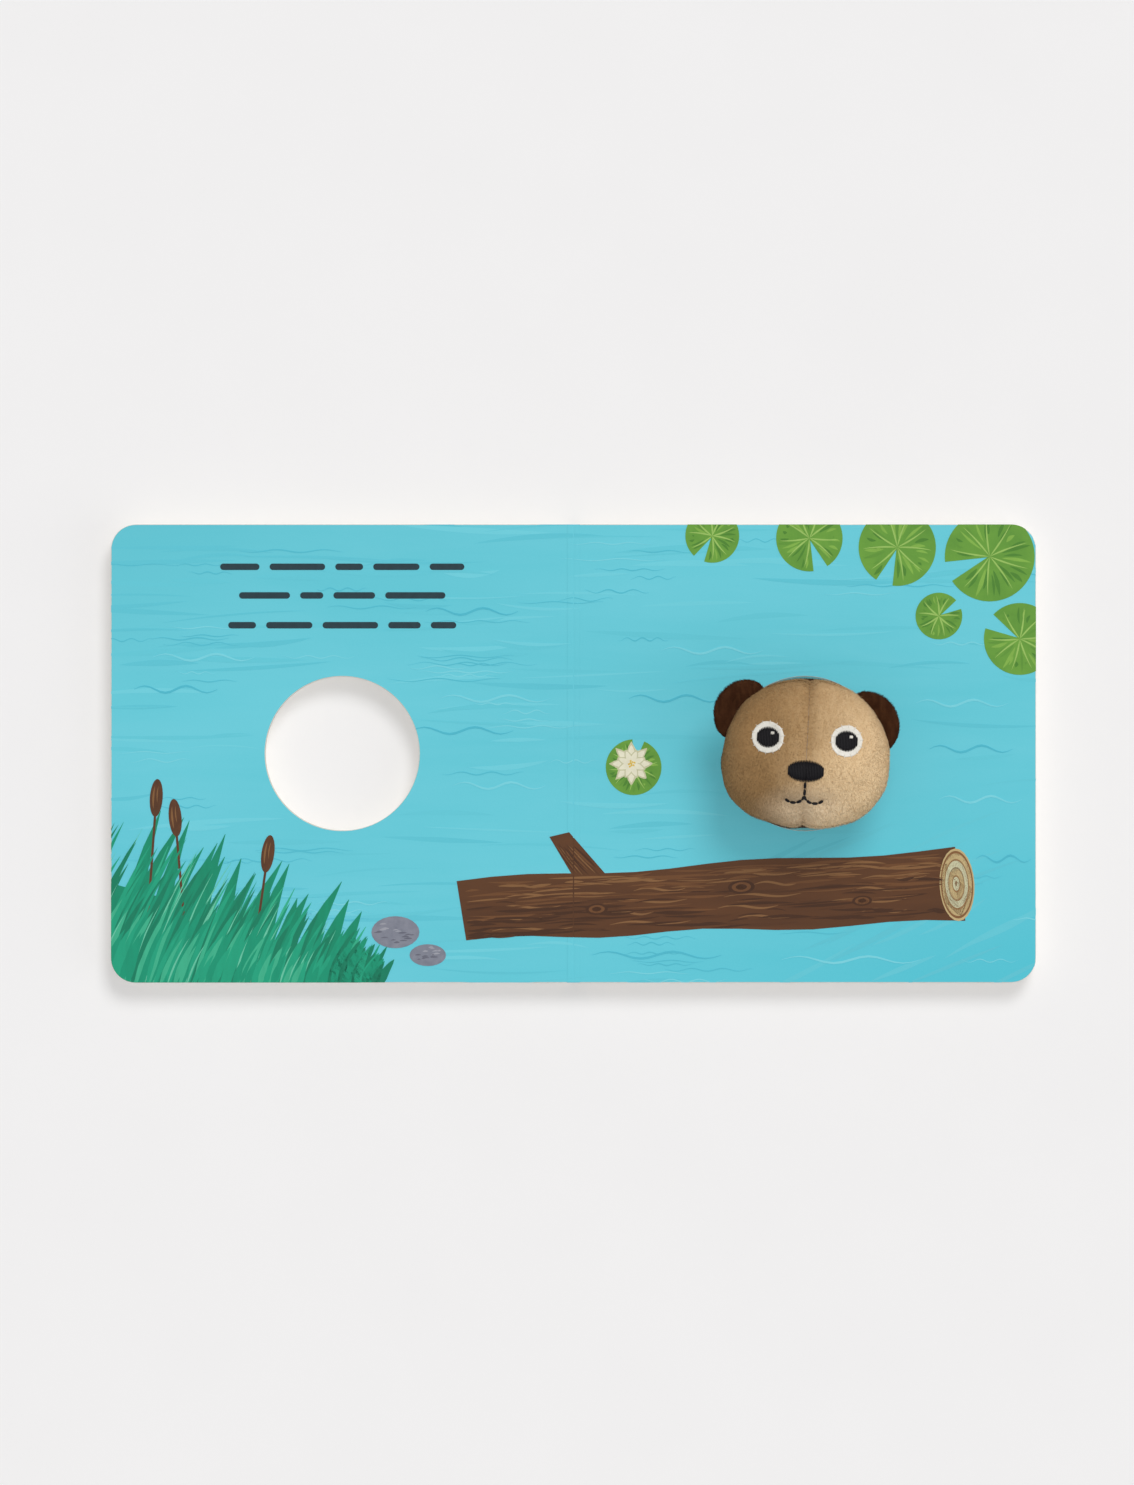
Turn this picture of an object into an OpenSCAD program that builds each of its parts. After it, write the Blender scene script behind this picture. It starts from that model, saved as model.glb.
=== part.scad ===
// Finger puppet book
// A square board book that lies open at its middle spread. A round hole goes
// through every page, and a plush animal head stands in the right-hand hole
// on a cloth sleeve, open below so that a finger can move it.
// X runs across the spread, Y up the page and Z up from the table.
// The origin is on the table, under the middle of the gutter.

/* [Pages] */
// Width of a page, from the gutter to the fore edge
page_w = 108; // [90:1:150]
// Height of a page
page_h = 107; // [90:1:150]
// Radius of the outer page corners
corner_r = 5.8; // [2:0.1:10]
// Thickness of one board page
leaf_t = 1.7; // [1.2:0.1:3]
// Slit between two pages, or a page and its cover
leaf_gap = 0.15; // [0.1:0.05:0.3]
// Board pages on the front cover's side
front_leaves = 3; // [3:1:5]
// Board pages on the back cover's side
back_leaves = 2; // [1:1:2]
// Width of the glued strip that joins the pages at the spine
glue_w = 4; // [2:0.5:8]
// Thickness of the middle spread's printed sheet where it crosses the gutter
sheet_t = 0.35; // [0.2:0.05:0.6]
// Diameter of the hole through the pages
hole_d = 36; // [33:0.5:44]

/* [Covers] */
// Thickness of the front cover and of the back cover's outer board
cover_t = 1.85; // [1.2:0.05:3]
// Thickness of the cover's spine strip
spine_t = 0.5; // [0.3:0.1:1]
// Space on each side of the middle of the gutter, where the strip creases
crease_w = 0.3; // [0.2:0.05:0.6]
// Diameter of the finger hole in the back cover
finger_hole_d = 31; // [28:0.5:32]

/* [Puppet sleeve] */
// Thickness of the plush cloth
plush_t = 1.2; // [0.8:0.1:2]
// Running space between the sleeve and the finger hole
sleeve_gap = 0.3; // [0.2:0.1:1]
// Width of the sleeve's glued flange
flange_w = 6.5; // [4:0.5:9]
// Thickness of the flange, pressed between the back boards
flange_t = 0.4; // [0.2:0.1:0.6]
// Outer radius of the sleeve's top, under the head
neck_r = 13; // [12:0.5:14]
// Height of the neck, where the head bends on its sleeve
neck_z = 15.6; // [15.6:0.2:18]
// Inner radius of the finger pocket
pocket_r = 10.6; // [9:0.2:11]
// Height of the finger pocket above the neck
pocket_h = 14.5; // [12:0.5:15]

/* [Puppet head] */
// Width of the head
head_w = 39.7; // [36:0.5:44]
// Length of the head, from crown to chin
head_l = 35.2; // [32:0.5:40]
// Height of the seam between face and back above the neck
seam_up = 8; // [7:0.1:10]
// Rise of the face above that seam
face_rise = 14.6; // [11:0.2:16]
// How far the muzzle stands out of the face
muzzle_rise = 1.7; // [0.5:0.1:3]
// Turn of the head, clockwise as seen from above
head_turn = 3; // [0:1:8]
// Thickness of an ear
ear_t = 3.4; // [2:0.2:4]
// Width of an ear, along the edge of the head
ear_w = 14; // [11:0.2:16]
// Diameter of an eye
eye_d = 5.2; // [4:0.2:6]
// Diameter of the pale felt disc under an eye
eye_disc_d = 7.4; // [6.4:0.2:9]
// Thickness of that disc
eye_disc_t = 0.4; // [0.2:0.1:0.8]
// Width of the nose
nose_w = 8.6; // [6:0.2:10]
// Thickness of the stitched eyes, nose and mouth
stitch_t = 0.6; // [0.3:0.1:1]

/* [Print] */
// Thickness of the printed fields
print_t = 0.1; // [0.05:0.05:0.15]
// Height of a bar in the three rows of bars
bar_h = 1.5; // [1:0.1:2.5]
// Thickness of the floating log
log_w = 17; // [12:0.5:20]
// Width of the widest reed blade
blade_w = 5.2; // [3:0.2:7]
// Radius of the largest lily pad
pad_r = 10.5; // [7:0.5:11]
// Width of a ripple line
ripple_w = 0.55; // [0.3:0.05:1]

/* [Hidden] */
$fn = 64;
stack_t = cover_t + front_leaves * (leaf_t + leaf_gap);
lining_t = (front_leaves - back_leaves) * (leaf_t + leaf_gap);
block_x = crease_w + spine_t;
hole_x = page_w / 2;
hole_r = hole_d / 2;
over = 1;
tiny = 0.05;

sleeve_r = finger_hole_d / 2 - sleeve_gap;
flange_r = sleeve_r + flange_w;
pocket_wall = plush_t;
soft_gap = 0.3;
head_z0 = neck_z + soft_gap;
half_w = head_w / 2;
half_l = head_l / 2;
seam_z = head_z0 + seam_up;
head_power = 2.2;
cheek = 0.1;
seam_gap = 0.08;
ear_angle = 30;
face_inset = 0.3;
shell_t = plush_t;
stuffing_gap = 0.25;
around = 44;

cover_teal = [0.23, 0.62, 0.68];
board_white = [0.93, 0.91, 0.86];
leaf_green = [0.06, 0.60, 0.46];
light_green = [0.22, 0.70, 0.54];
pad_green = [0.42, 0.61, 0.31];
bark_brown = [0.40, 0.27, 0.17];
light_brown = [0.53, 0.41, 0.27];
cream = [0.78, 0.77, 0.62];
stone_grey = [0.50, 0.51, 0.56];
ink = [0.16, 0.24, 0.28];
pale_water = [0.62, 0.87, 0.90];
deep_water = [0.27, 0.66, 0.75];
tan_plush = [0.66, 0.54, 0.41];
dark_plush = [0.22, 0.12, 0.10];
nose_black = [0.09, 0.08, 0.10];
felt_white = [0.93, 0.92, 0.88];

// Outline of a page or board on the right of the gutter, from x0 outwards
module sheet_2d(x0) {
    translate([x0, -page_h / 2]) square([page_w - corner_r - x0, page_h]);
    translate([x0, corner_r - page_h / 2])
        square([page_w - x0, page_h - 2 * corner_r]);
    for (side = [-1, 1])
        translate([page_w - corner_r, side * (page_h / 2 - corner_r)])
            circle(corner_r);
}

// A board with a round hole, from the height z up
module board(x0, z, t, hole) {
    translate([0, 0, z])
        linear_extrude(t)
            difference() {
                sheet_2d(x0);
                translate([hole_x, 0]) circle(hole / 2);
            }
}

module to_left() {
    mirror([1, 0, 0]) children();
}

// A stack of pages above the height z, joined at the spine
module pages(z, count) {
    for (i = [0:count - 1])
        board(block_x, z + i * (leaf_t + leaf_gap), leaf_t, hole_d);
    translate([block_x, -page_h / 2, z - leaf_gap])
        cube([glue_w, page_h, stack_t - z + leaf_gap]);
    translate([tiny, -page_h / 2, stack_t - sheet_t])
        cube([block_x + glue_w - tiny, page_h, sheet_t]);
}

// A cover board with its half of the spine strip
module cover_half(hole) {
    board(crease_w, 0, cover_t, hole);
    translate([crease_w, -page_h / 2, 0])
        cube([spine_t, page_h, stack_t - sheet_t - tiny]);
}

module front_cover() {
    color(cover_teal) to_left() cover_half(hole_d);
}

module front_pages() {
    color(board_white) to_left() pages(cover_t + leaf_gap, front_leaves);
}

module back_cover() {
    color(cover_teal) cover_half(finger_hole_d);
}

module back_lining() {
    color(board_white)
        difference() {
            board(block_x, cover_t, lining_t, finger_hole_d);
            translate([hole_x, 0, cover_t - over])
                cylinder(r = flange_r + sleeve_gap, h = over + flange_t + tiny);
        }
}

module back_pages() {
    color(board_white) pages(cover_t + lining_t + leaf_gap, back_leaves);
}

// Printed fields: side is 1 for the right page and -1 for the left one
module printed(side) {
    translate([0, 0, stack_t])
        linear_extrude(print_t)
            intersection() {
                children();
                mirror([side < 0 ? 1 : 0, 0])
                    difference() {
                        sheet_2d(2 * tiny);
                        translate([hole_x, 0]) circle(hole_r + tiny);
                    }
            }
}

// A place on the spread: u counts page widths and v half page heights
function at(u, v) = [u * page_w, v * page_h / 2];

// A tapering blade from its foot: it leans by lean and bends by bend
function blade(foot, length, width, lean, bend) =
    let (steps = 5,
         mid = [for (i = [0:steps]) let (t = i / steps)
             [foot[0] + length * (lean * t + bend * t * t),
              foot[1] + length * t]],
         half = [for (i = [0:steps]) let (t = i / steps)
             width / 2 * (1 - pow(t, 2.2)) + 0.05])
    concat([for (i = [0:steps]) mid[i] - [half[i], 0]],
           [for (i = [steps:-1:0]) mid[i] + [half[i], 0]]);

// A line that waves about its middle and thins out at both ends
function ripple(mid, length, rise, waves) =
    let (steps = 16,
         line = [for (i = [0:steps]) let (t = i / steps)
             [mid[0] + length * (t - 0.5), mid[1] + rise * sin(360 * waves * t)]],
         half = [for (i = [0:steps])
             ripple_w / 2 * (0.15 + 0.85 * sin(180 * i / steps))])
    concat([for (i = [0:steps]) line[i] + [0, half[i]]],
           [for (i = [steps:-1:0]) line[i] - [0, half[i]]]);

// A round or oval outline
function oval(mid, rx, ry, steps = 24) =
    [for (i = [0:steps - 1])
        mid + [rx * cos(360 * i / steps), ry * sin(360 * i / steps)]];

// Feet, lengths and leans of the reeds along the bottom left
reed_count = 19;
function reed_foot(i) = at(-1.0 + 0.028 * i, -1.02);
function reed_length(i) =
    page_h * (0.37 - 0.0125 * i + 0.04 * sin(137 * i));
function reed_lean(i) = 0.16 + 0.14 * sin(211 * i + 40);

module reeds_2d() {
    polygon([at(-1.01, -1.02), at(-0.44, -1.02), at(-0.6, -0.86),
             at(-0.8, -0.68), at(-1.01, -0.56)]);
    for (i = [0:reed_count - 1])
        polygon(blade(reed_foot(i), reed_length(i), blade_w,
                      reed_lean(i), 0.18));
}

module reed_lights_2d() {
    for (i = [1:2:reed_count - 1])
        polygon(blade(reed_foot(i) + [blade_w * 0.3, 0], reed_length(i) * 0.8,
                      blade_w * 0.3, reed_lean(i) + 0.04, 0.2));
}

cattails = [[-0.93, 0.47, 4], [-0.83, 0.42, -5], [-0.70, 0.33, 8]];

module cattails_2d() {
    for (c = cattails)
        translate(at(c[0], -1)) rotate(-c[2]) {
            translate([-ripple_w / 2, -over])
                square([ripple_w, c[1] * page_h * 0.86]);
            polygon(oval([0, c[1] * page_h * 0.86], blade_w * 0.29, blade_w * 0.85));
        }
}

log_mid = at(0.29, -0.63);
log_len = page_w * 1.08;
log_turn = 3;

// The log lies along X before it is turned and moved
module log_place() {
    translate(log_mid) rotate(log_turn) children();
}

module log_2d() {
    steps = 14;
    log_place() {
        polygon(concat(
            [for (i = [0:steps]) let (t = i / steps)
                [log_len * (t - 0.5),
                 log_w / 2 * (0.82 + 0.18 * t) + 0.6 * sin(760 * t)]],
            [for (i = [steps:-1:0]) let (t = i / steps)
                [log_len * (t - 0.5) - 3 * sin(180 * t) + 1.5,
                 -log_w / 2 * (0.82 + 0.18 * t) + 0.6 * sin(900 * t)]]));
        polygon([[-log_len * 0.26, log_w * 0.3], [-log_len * 0.31, log_w * 0.95],
                 [-log_len * 0.27, log_w * 1.0], [-log_len * 0.19, log_w * 0.3]]);
    }
}

module log_end_2d() {
    log_place()
        polygon(oval([log_len / 2, 0], log_w * 0.24, log_w / 2));
}

module bark_lines_2d() {
    log_place()
        for (row = [-2:2], part = [0:3])
            polygon(ripple([log_len * (part * 0.235 - 0.36 + 0.03 * sin(97 * row)),
                            row * log_w * 0.15],
                           log_len * (0.13 + 0.04 * sin(151 * row + 70 * part)),
                           0.5, 1));
}

module stones_2d() {
    polygon(oval(at(-0.385, -0.78), log_w * 0.33, log_w * 0.22));
    polygon(oval(at(-0.315, -0.88), log_w * 0.25, log_w * 0.15));
}

pads = [[0.90, 0.86, 1, 200], [0.70, 0.90, 0.86, 250], [0.965, 0.50, 0.8, 150],
        [0.51, 0.94, 0.74, 290], [0.30, 0.95, 0.6, 240], [0.79, 0.60, 0.52, 30],
        [0.13, -0.06, 0.62, 80]];

module lily_pads_2d() {
    for (p = pads)
        translate(at(p[0], p[1]))
            difference() {
                circle(pad_r * p[2]);
                rotate(p[3])
                    polygon([[0.6, 0], [pad_r * 1.2, -pad_r * 0.28],
                             [pad_r * 1.2, pad_r * 0.28]]);
            }
}

lily_mid = at(0.125, -0.045);
petals = 8;

module lily_2d() {
    long = pad_r / 2;
    wide = pad_r * 0.14;
    translate(lily_mid)
        for (i = [0:petals - 1])
            rotate(360 * i / petals)
                polygon([[0, -wide / 2], [long / 2, -wide], [long, 0],
                         [long / 2, wide], [0, wide / 2]]);
}

bar_rows = [[0.815, [0.085, 0.12, 0.06, 0.10, 0.075]],
            [0.69, [0.11, 0.05, 0.09, 0.13]],
            [0.56, [0.06, 0.10, 0.12, 0.07, 0.055]]];
bar_space = 0.022;

// Length of the first n bars of a row with the spaces after them
function run(bars, n) = n == 0 ? 0 : bars[n - 1] + bar_space + run(bars, n - 1);

module text_bars_2d() {
    for (row = bar_rows) {
        start = -0.5 - (run(row[1], len(row[1])) - bar_space) / 2;
        for (i = [0:len(row[1]) - 1])
            translate(at(start + run(row[1], i), row[0])) {
                translate([bar_h / 2, -bar_h / 2])
                    square([row[1][i] * page_w - bar_h, bar_h]);
                translate([bar_h / 2, 0]) circle(bar_h / 2);
                translate([row[1][i] * page_w - bar_h / 2, 0]) circle(bar_h / 2);
            }
    }
}

pale_ripples = [[-0.80, 0.42, 0.22], [-0.17, 0.24, 0.24], [-0.16, -0.14, 0.20],
                [0.84, 0.22, 0.20], [0.88, -0.20, 0.18], [0.30, 0.45, 0.22],
                [0.60, -0.90, 0.30]];
deep_ripples = [[-0.86, 0.28, 0.18], [-0.24, 0.10, 0.22], [-0.22, 0.62, 0.20],
                [0.86, 0.02, 0.18], [0.93, -0.46, 0.12], [0.22, 0.24, 0.20],
                [0.18, -0.88, 0.28]];

module ripples_2d(rows) {
    for (r = rows)
        polygon(ripple(at(r[0], r[1]), r[2] * page_w, 0.8, 2));
}

module left_text_bars() {
    color(ink) printed(-1) text_bars_2d();
}

module left_reeds() {
    color(leaf_green)
        printed(-1)
            difference() {
                reeds_2d();
                reed_lights_2d();
                cattails_2d();
            }
}

module left_reed_lights() {
    color(light_green)
        printed(-1)
            difference() {
                reed_lights_2d();
                cattails_2d();
            }
}

module left_cattails() {
    color(bark_brown) printed(-1) cattails_2d();
}

module left_log() {
    color(bark_brown)
        printed(-1)
            difference() {
                log_2d();
                bark_lines_2d();
            }
}

module left_bark_lines() {
    color(light_brown) printed(-1) bark_lines_2d();
}

module left_stones() {
    color(stone_grey)
        printed(-1)
            difference() {
                stones_2d();
                log_2d();
            }
}

module left_pale_ripples() {
    color(pale_water) printed(-1) ripples_2d(pale_ripples);
}

module left_deep_ripples() {
    color(deep_water) printed(-1) ripples_2d(deep_ripples);
}

module right_log() {
    color(bark_brown)
        printed(1)
            difference() {
                log_2d();
                bark_lines_2d();
                log_end_2d();
            }
}

module right_bark_lines() {
    color(light_brown)
        printed(1)
            difference() {
                bark_lines_2d();
                log_end_2d();
            }
}

module right_log_end() {
    color(cream) printed(1) log_end_2d();
}

module right_lily_pads() {
    color(pad_green)
        printed(1)
            difference() {
                lily_pads_2d();
                lily_2d();
            }
}

module right_lily() {
    color(cream) printed(1) lily_2d();
}

module right_pale_ripples() {
    color(pale_water)
        printed(1)
            difference() {
                ripples_2d(pale_ripples);
                lily_pads_2d();
            }
}

module right_deep_ripples() {
    color(deep_water)
        printed(1)
            difference() {
                ripples_2d(deep_ripples);
                lily_pads_2d();
            }
}

module puppet_sleeve() {
    color(dark_plush)
        translate([hole_x, 0, 0])
            rotate_extrude()
                polygon([[sleeve_r - plush_t, cover_t],
                         [flange_r, cover_t],
                         [flange_r, cover_t + flange_t],
                         [sleeve_r, cover_t + flange_t],
                         [sleeve_r, neck_z - 4.5],
                         [neck_r, neck_z],
                         [neck_r - plush_t, neck_z],
                         [sleeve_r - plush_t, neck_z - 4.5]]);
}

module finger_pocket() {
    r = pocket_r + pocket_wall;
    top = head_z0 + pocket_h;
    color(tan_plush)
        translate([hole_x, 0, 0])
            difference() {
                union() {
                    translate([0, 0, head_z0]) cylinder(r = r, h = pocket_h - 4);
                    translate([0, 0, top - 4])
                        cylinder(r1 = r, r2 = r - 4, h = 4);
                }
                translate([0, 0, head_z0 - over])
                    cylinder(r = pocket_r, h = pocket_h - 5 + over);
                translate([0, 0, top - 5])
                    cylinder(r1 = pocket_r, r2 = pocket_r - 3.6, h = 3.6);
            }
}

// Everything on the head is drawn about its middle and turned with it
module on_head() {
    translate([hole_x, 0, 0]) rotate(-head_turn) children();
}

// How far a place on the face lies from its middle, 1 at the seam
function spread(x, y, wx, wy) =
    pow(abs(x) / wx / (1 - cheek * y / wy), head_power)
    + pow(abs(y) / wy, head_power);

// Height of the face over a place, for a face that stands in by inset
function face_z(x, y, inset) =
    seam_z
    + (face_rise - inset) * sqrt(max(0, 1 - spread(x, y, half_w - inset, half_l - inset)))
    + muzzle_rise * exp(-pow(x / 7.5, 2) - pow((y + half_l * 0.36) / 5.6, 2));

// A place inside the rounded outline, s of the way out to the rim and in the
// direction of the angle. The cheeks are wider than the crown.
function rim(angle, wx, wy, s = 1) =
    let (across = pow(abs(cos(angle)) / wx, head_power),
         along = pow(abs(sin(angle)) / wy, head_power),
         k = s * pow(across + along, -1 / head_power),
         y = k * sin(angle))
    [k * cos(angle) * (1 - cheek * y / wy), y];

// A closed solid through rings of equally many points, with flat ends
module loft(rings) {
    n = len(rings[0]);
    last = len(rings) - 1;
    polyhedron(
        points = [for (ring = rings, p = ring) p],
        faces = concat(
            [[for (i = [0:n - 1]) i]],
            [for (k = [0:last - 1], i = [0:n - 1])
                each [[k * n + i, (k + 1) * n + i, k * n + (i + 1) % n],
                      [k * n + (i + 1) % n, (k + 1) * n + i,
                       (k + 1) * n + (i + 1) % n]]],
            [[for (i = [n - 1:-1:0]) last * n + i]]),
        convexity = 6);
}

// A closed ring-shaped solid through rings, the last joined to the first
module ring_loft(rings) {
    n = len(rings[0]);
    count = len(rings);
    polyhedron(
        points = [for (ring = rings, p = ring) p],
        faces = [for (k = [0:count - 1], i = [0:n - 1])
            let (m = (k + 1) % count)
            each [[k * n + i, m * n + i, k * n + (i + 1) % n],
                  [k * n + (i + 1) % n, m * n + i, m * n + (i + 1) % n]]],
        convexity = 6);
}

// One ring of the face's surface: s runs from 1 at the seam to 0 at the top
function face_ring(s, inset) =
    [for (i = [0:around - 1])
        let (angle = 360 * (i + 0.5) / around,
             p = rim(angle, half_w - inset, half_l - inset, s))
        [p[0], p[1], face_z(p[0], p[1], inset)]];

face_steps = [1, 0.985, 0.94, 0.86, 0.74, 0.6, 0.45, 0.3, 0.16, 0.04];

// The face's dome, filled down to the seam
module face_dome(inset) {
    loft([for (s = face_steps) face_ring(s, inset)]);
}

// The face cloth, as a shell over the stuffing
module face_shell() {
    difference() {
        face_dome(face_inset);
        translate([0, 0, -tiny]) face_dome(face_inset + shell_t);
    }
}

module face_half(side) {
    on_head()
        intersection() {
            face_shell();
            translate([side > 0 ? seam_gap / 2 : -head_w, -head_w, 0])
                cube([head_w - seam_gap / 2, 2 * head_w, 2 * seam_z]);
        }
}

module face_left() {
    color(tan_plush) face_half(-1);
}

module face_right() {
    color(tan_plush) face_half(1);
}

// One ring of the back of the head: t is 0 at the seam and 1 at the neck
function back_ring(t, inset) =
    let (z = seam_z - 0.1 - (seam_up - 0.1) * sin(90 * t),
         out = cos(90 * t))
    [for (i = [0:around - 1])
        let (angle = 360 * (i + 0.5) / around,
             p = rim(angle, half_w - inset, half_l - inset),
             q = (neck_r - inset + 0.2) * [cos(angle), sin(angle)])
        [q[0] + (p[0] - q[0]) * out, q[1] + (p[1] - q[1]) * out, z]];

module head_back() {
    color(dark_plush)
        on_head()
            ring_loft(concat(
                [for (t = [1:-0.2:0]) back_ring(t, 0)],
                [for (t = [0:0.2:1]) back_ring(t, shell_t)]));
}

module head_stuffing() {
    inset = face_inset + shell_t + stuffing_gap;
    color(cream)
        difference() {
            on_head()
                loft(concat(
                    [for (t = [0.8:-0.2:0]) back_ring(t, inset)],
                    [for (s = [0.99, 0.94, 0.84, 0.68, 0.48, 0.28, 0.08])
                        face_ring(s, inset)]));
            translate([hole_x, 0, head_z0 - over])
                cylinder(r = pocket_r + pocket_wall + 0.1,
                         h = pocket_h + 0.1 + over);
        }
}

// A flat oval lobe with a soft edge, standing out along Y
module ear_lobe() {
    n = 24;
    half = ear_w / 2;
    loft([for (k = [-4:4])
        let (a = 90 * k / 4.4, s = cos(a))
        [for (i = [0:n - 1]) let (w = 360 * i / n)
            [half * s * cos(w), half * 0.86 * s * sin(w), ear_t / 2 * sin(a)]]]);
}

// An ear sits in the seam: angle is its direction from the middle
module ear(angle) {
    p = rim(angle, half_w, half_l, 0.95);
    on_head()
        difference() {
            translate([p[0], p[1], seam_z + 2])
                rotate(angle - 90)
                    rotate([20, 0, 0])
                        ear_lobe();
            loft(concat(
                [for (t = [1:-0.25:0]) back_ring(t, -0.1)],
                [for (s = [1, 0.94, 0.84, 0.68, 0.48, 0.28, 0.08])
                    face_ring(s, -0.1)]));
        }
}

module ear_left() {
    color(dark_plush) ear(180 - ear_angle);
}

module ear_right() {
    color(dark_plush) ear(ear_angle);
}

// A thin domed patch on the face, from the height lift above it, through rings
// about its own middle
module patch(mid, rx, ry, pinch, lift, t) {
    n = 20;
    function edge(s, up) =
        [for (i = [0:n - 1])
            let (w = 360 * i / n,
                 x = mid[0] + s * rx * cos(w) * (1 + pinch * sin(w)),
                 y = mid[1] + s * ry * sin(w))
            [x, y, face_z(x, y, face_inset) + up]];
    on_head()
        loft([edge(0.15, lift), edge(0.6, lift), edge(1, lift),
              edge(0.96, lift + t * 0.7), edge(0.7, lift + t),
              edge(0.15, lift + t * 1.1)]);
}

eye_mid = [half_w * 0.46, half_l * 0.19];
nose_mid = [0, -half_l * 0.22];
lift = 0.06;
eye_lift = 2 * lift + eye_disc_t * 1.1;

module eye_disc(mid) {
    color(felt_white)
        patch(mid, eye_disc_d / 2, eye_disc_d / 2, 0, lift, eye_disc_t);
}

module eye(mid) {
    color(nose_black) patch(mid, eye_d / 2, eye_d / 2, 0, eye_lift, stitch_t);
}

module eye_disc_left() {
    eye_disc([-eye_mid[0], eye_mid[1]]);
}

module eye_disc_right() {
    eye_disc(eye_mid);
}

module eye_left() {
    eye([-eye_mid[0], eye_mid[1]]);
}

module eye_right() {
    eye(eye_mid);
}

module nose() {
    color(nose_black)
        patch(nose_mid, nose_w / 2, nose_w * 0.34, 0.12, lift, stitch_t);
}

// A raised thread along places on the face
module thread(places, width) {
    function section(i) =
        let (a = places[max(i - 1, 0)],
             b = places[min(i + 1, len(places) - 1)],
             d = (b - a) / norm(b - a),
             side = [-d[1], d[0]] * width / 2,
             p = places[i])
        [for (c = [[1, 0], [0.6, 1], [-0.6, 1], [-1, 0]])
            let (x = p[0] + side[0] * c[0], y = p[1] + side[1] * c[0])
            [x, y, face_z(x, y, face_inset) + lift + c[1] * stitch_t]];
    loft([for (i = [0:len(places) - 1]) section(i)]);
}

module mouth_stitch() {
    thread_w = 0.8;
    foot = nose_mid[1] - nose_w * 0.34;
    low = foot - 3;
    color(nose_black)
        on_head() {
            thread([[0, foot - 0.1], [0, foot - 1.5], [0, low]], thread_w);
            for (side = [-1, 1])
                thread([for (i = [0:7]) let (w = 10 + 20 * i)
                    [side * (0.5 + 2.3 * (1 - cos(w))), low - 1.7 * sin(w)]],
                    thread_w);
        }
}

front_cover();
front_pages();
back_cover();
back_lining();
back_pages();
left_text_bars();
left_reeds();
left_reed_lights();
left_cattails();
left_log();
left_bark_lines();
left_stones();
left_pale_ripples();
left_deep_ripples();
right_log();
right_bark_lines();
right_log_end();
right_lily_pads();
right_lily();
right_pale_ripples();
right_deep_ripples();
puppet_sleeve();
finger_pocket();
head_stuffing();
head_back();
face_left();
face_right();
ear_left();
ear_right();
eye_disc_left();
eye_disc_right();
eye_left();
eye_right();
nose();
mouth_stitch();
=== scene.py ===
"""An open board book with a plush finger puppet standing in the hole of its right-hand page."""
import math
import random

import bpy
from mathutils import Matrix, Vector, noise
from mathutils.bvhtree import BVHTree


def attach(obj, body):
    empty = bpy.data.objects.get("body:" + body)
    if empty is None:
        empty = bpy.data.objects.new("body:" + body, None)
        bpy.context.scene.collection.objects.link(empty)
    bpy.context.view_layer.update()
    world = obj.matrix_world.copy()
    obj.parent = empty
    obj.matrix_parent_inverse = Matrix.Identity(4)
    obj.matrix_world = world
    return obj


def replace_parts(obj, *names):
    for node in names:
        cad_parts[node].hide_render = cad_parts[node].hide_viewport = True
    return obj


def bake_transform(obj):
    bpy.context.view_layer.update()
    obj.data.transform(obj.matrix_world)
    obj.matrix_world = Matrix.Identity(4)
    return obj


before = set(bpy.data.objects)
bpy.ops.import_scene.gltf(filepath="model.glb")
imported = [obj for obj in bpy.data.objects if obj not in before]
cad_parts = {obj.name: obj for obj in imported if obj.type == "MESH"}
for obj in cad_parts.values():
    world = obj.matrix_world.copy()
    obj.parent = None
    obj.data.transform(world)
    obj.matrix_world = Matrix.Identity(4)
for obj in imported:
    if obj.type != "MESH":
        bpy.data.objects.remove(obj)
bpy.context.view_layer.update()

# Lengths below are in millimetres, and MM turns them into Blender's metres
MM = 0.001

# Pages and covers
PAGE_W = 108.0
PAGE_H = 107.0
CORNER_R = 5.8
LEAF_T = 1.7
LEAF_GAP = 0.15
GLUE_W = 4.0
HOLE_R = 18.0
COVER_T = 1.85
SPINE_T = 0.5
CREASE_W = 0.3
FINGER_HOLE_R = 15.5
BLOCK_X = CREASE_W + SPINE_T
STACK_T = COVER_T + 3 * (LEAF_T + LEAF_GAP)
LINING_T = LEAF_T + LEAF_GAP
HOLE_X = PAGE_W / 2
PRINT_T = 0.1

# Puppet
PLUSH_T = 1.2
SLEEVE_R = 15.2
FLANGE_R = 21.7
FLANGE_T = 0.4
NECK_R = 13.0
NECK_Z = 15.6
HEAD_Z0 = 15.9
POCKET_R = 10.6
POCKET_H = 14.5
HALF_W = 19.85
HALF_L = 17.6
SEAM_Z = HEAD_Z0 + 8.0
FACE_RISE = 14.6
MUZZLE_RISE = 1.7
HEAD_TURN = math.radians(-3)
HEAD_POWER = 2.2
CHEEK = 0.1
FACE_INSET = 0.3
EAR_ANGLE = math.radians(30)
EAR_W = 14.0
EAR_T = 3.4
EYE_R = 2.6
EYE_DISC_R = 3.7
EYE_MID = (HALF_W * 0.46, HALF_L * 0.19)
NOSE_W = 8.6
NOSE_Y = -HALF_L * 0.22

# Where the printed log crosses the gutter, from its lower to its upper edge
LOG_AT_GUTTER = (-42.9, -19.7)

# The face's cloth carries painted light and shade: painted shade on its left turning to painted light
# on its right over the X range, painted shade at the crown turning to painted light low on the right
# down the Y range, painted shade in the crease within SEAM_SHADE_W of its middle seam, and a paler
# cloth colour in an oval round the mouth
PAINTED_SHADING_X = (HOLE_X - 19, HOLE_X + 17)
PAINTED_SHADING_Y = (16.0, -17.0)
SEAM_SHADE_W = 2.6
MUZZLE_Y = -13.5
MUZZLE_REACH = (13.0, 7.0)

LEFT, RIGHT = "front_half", "back_half"
HEAD = "puppet_head"


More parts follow.
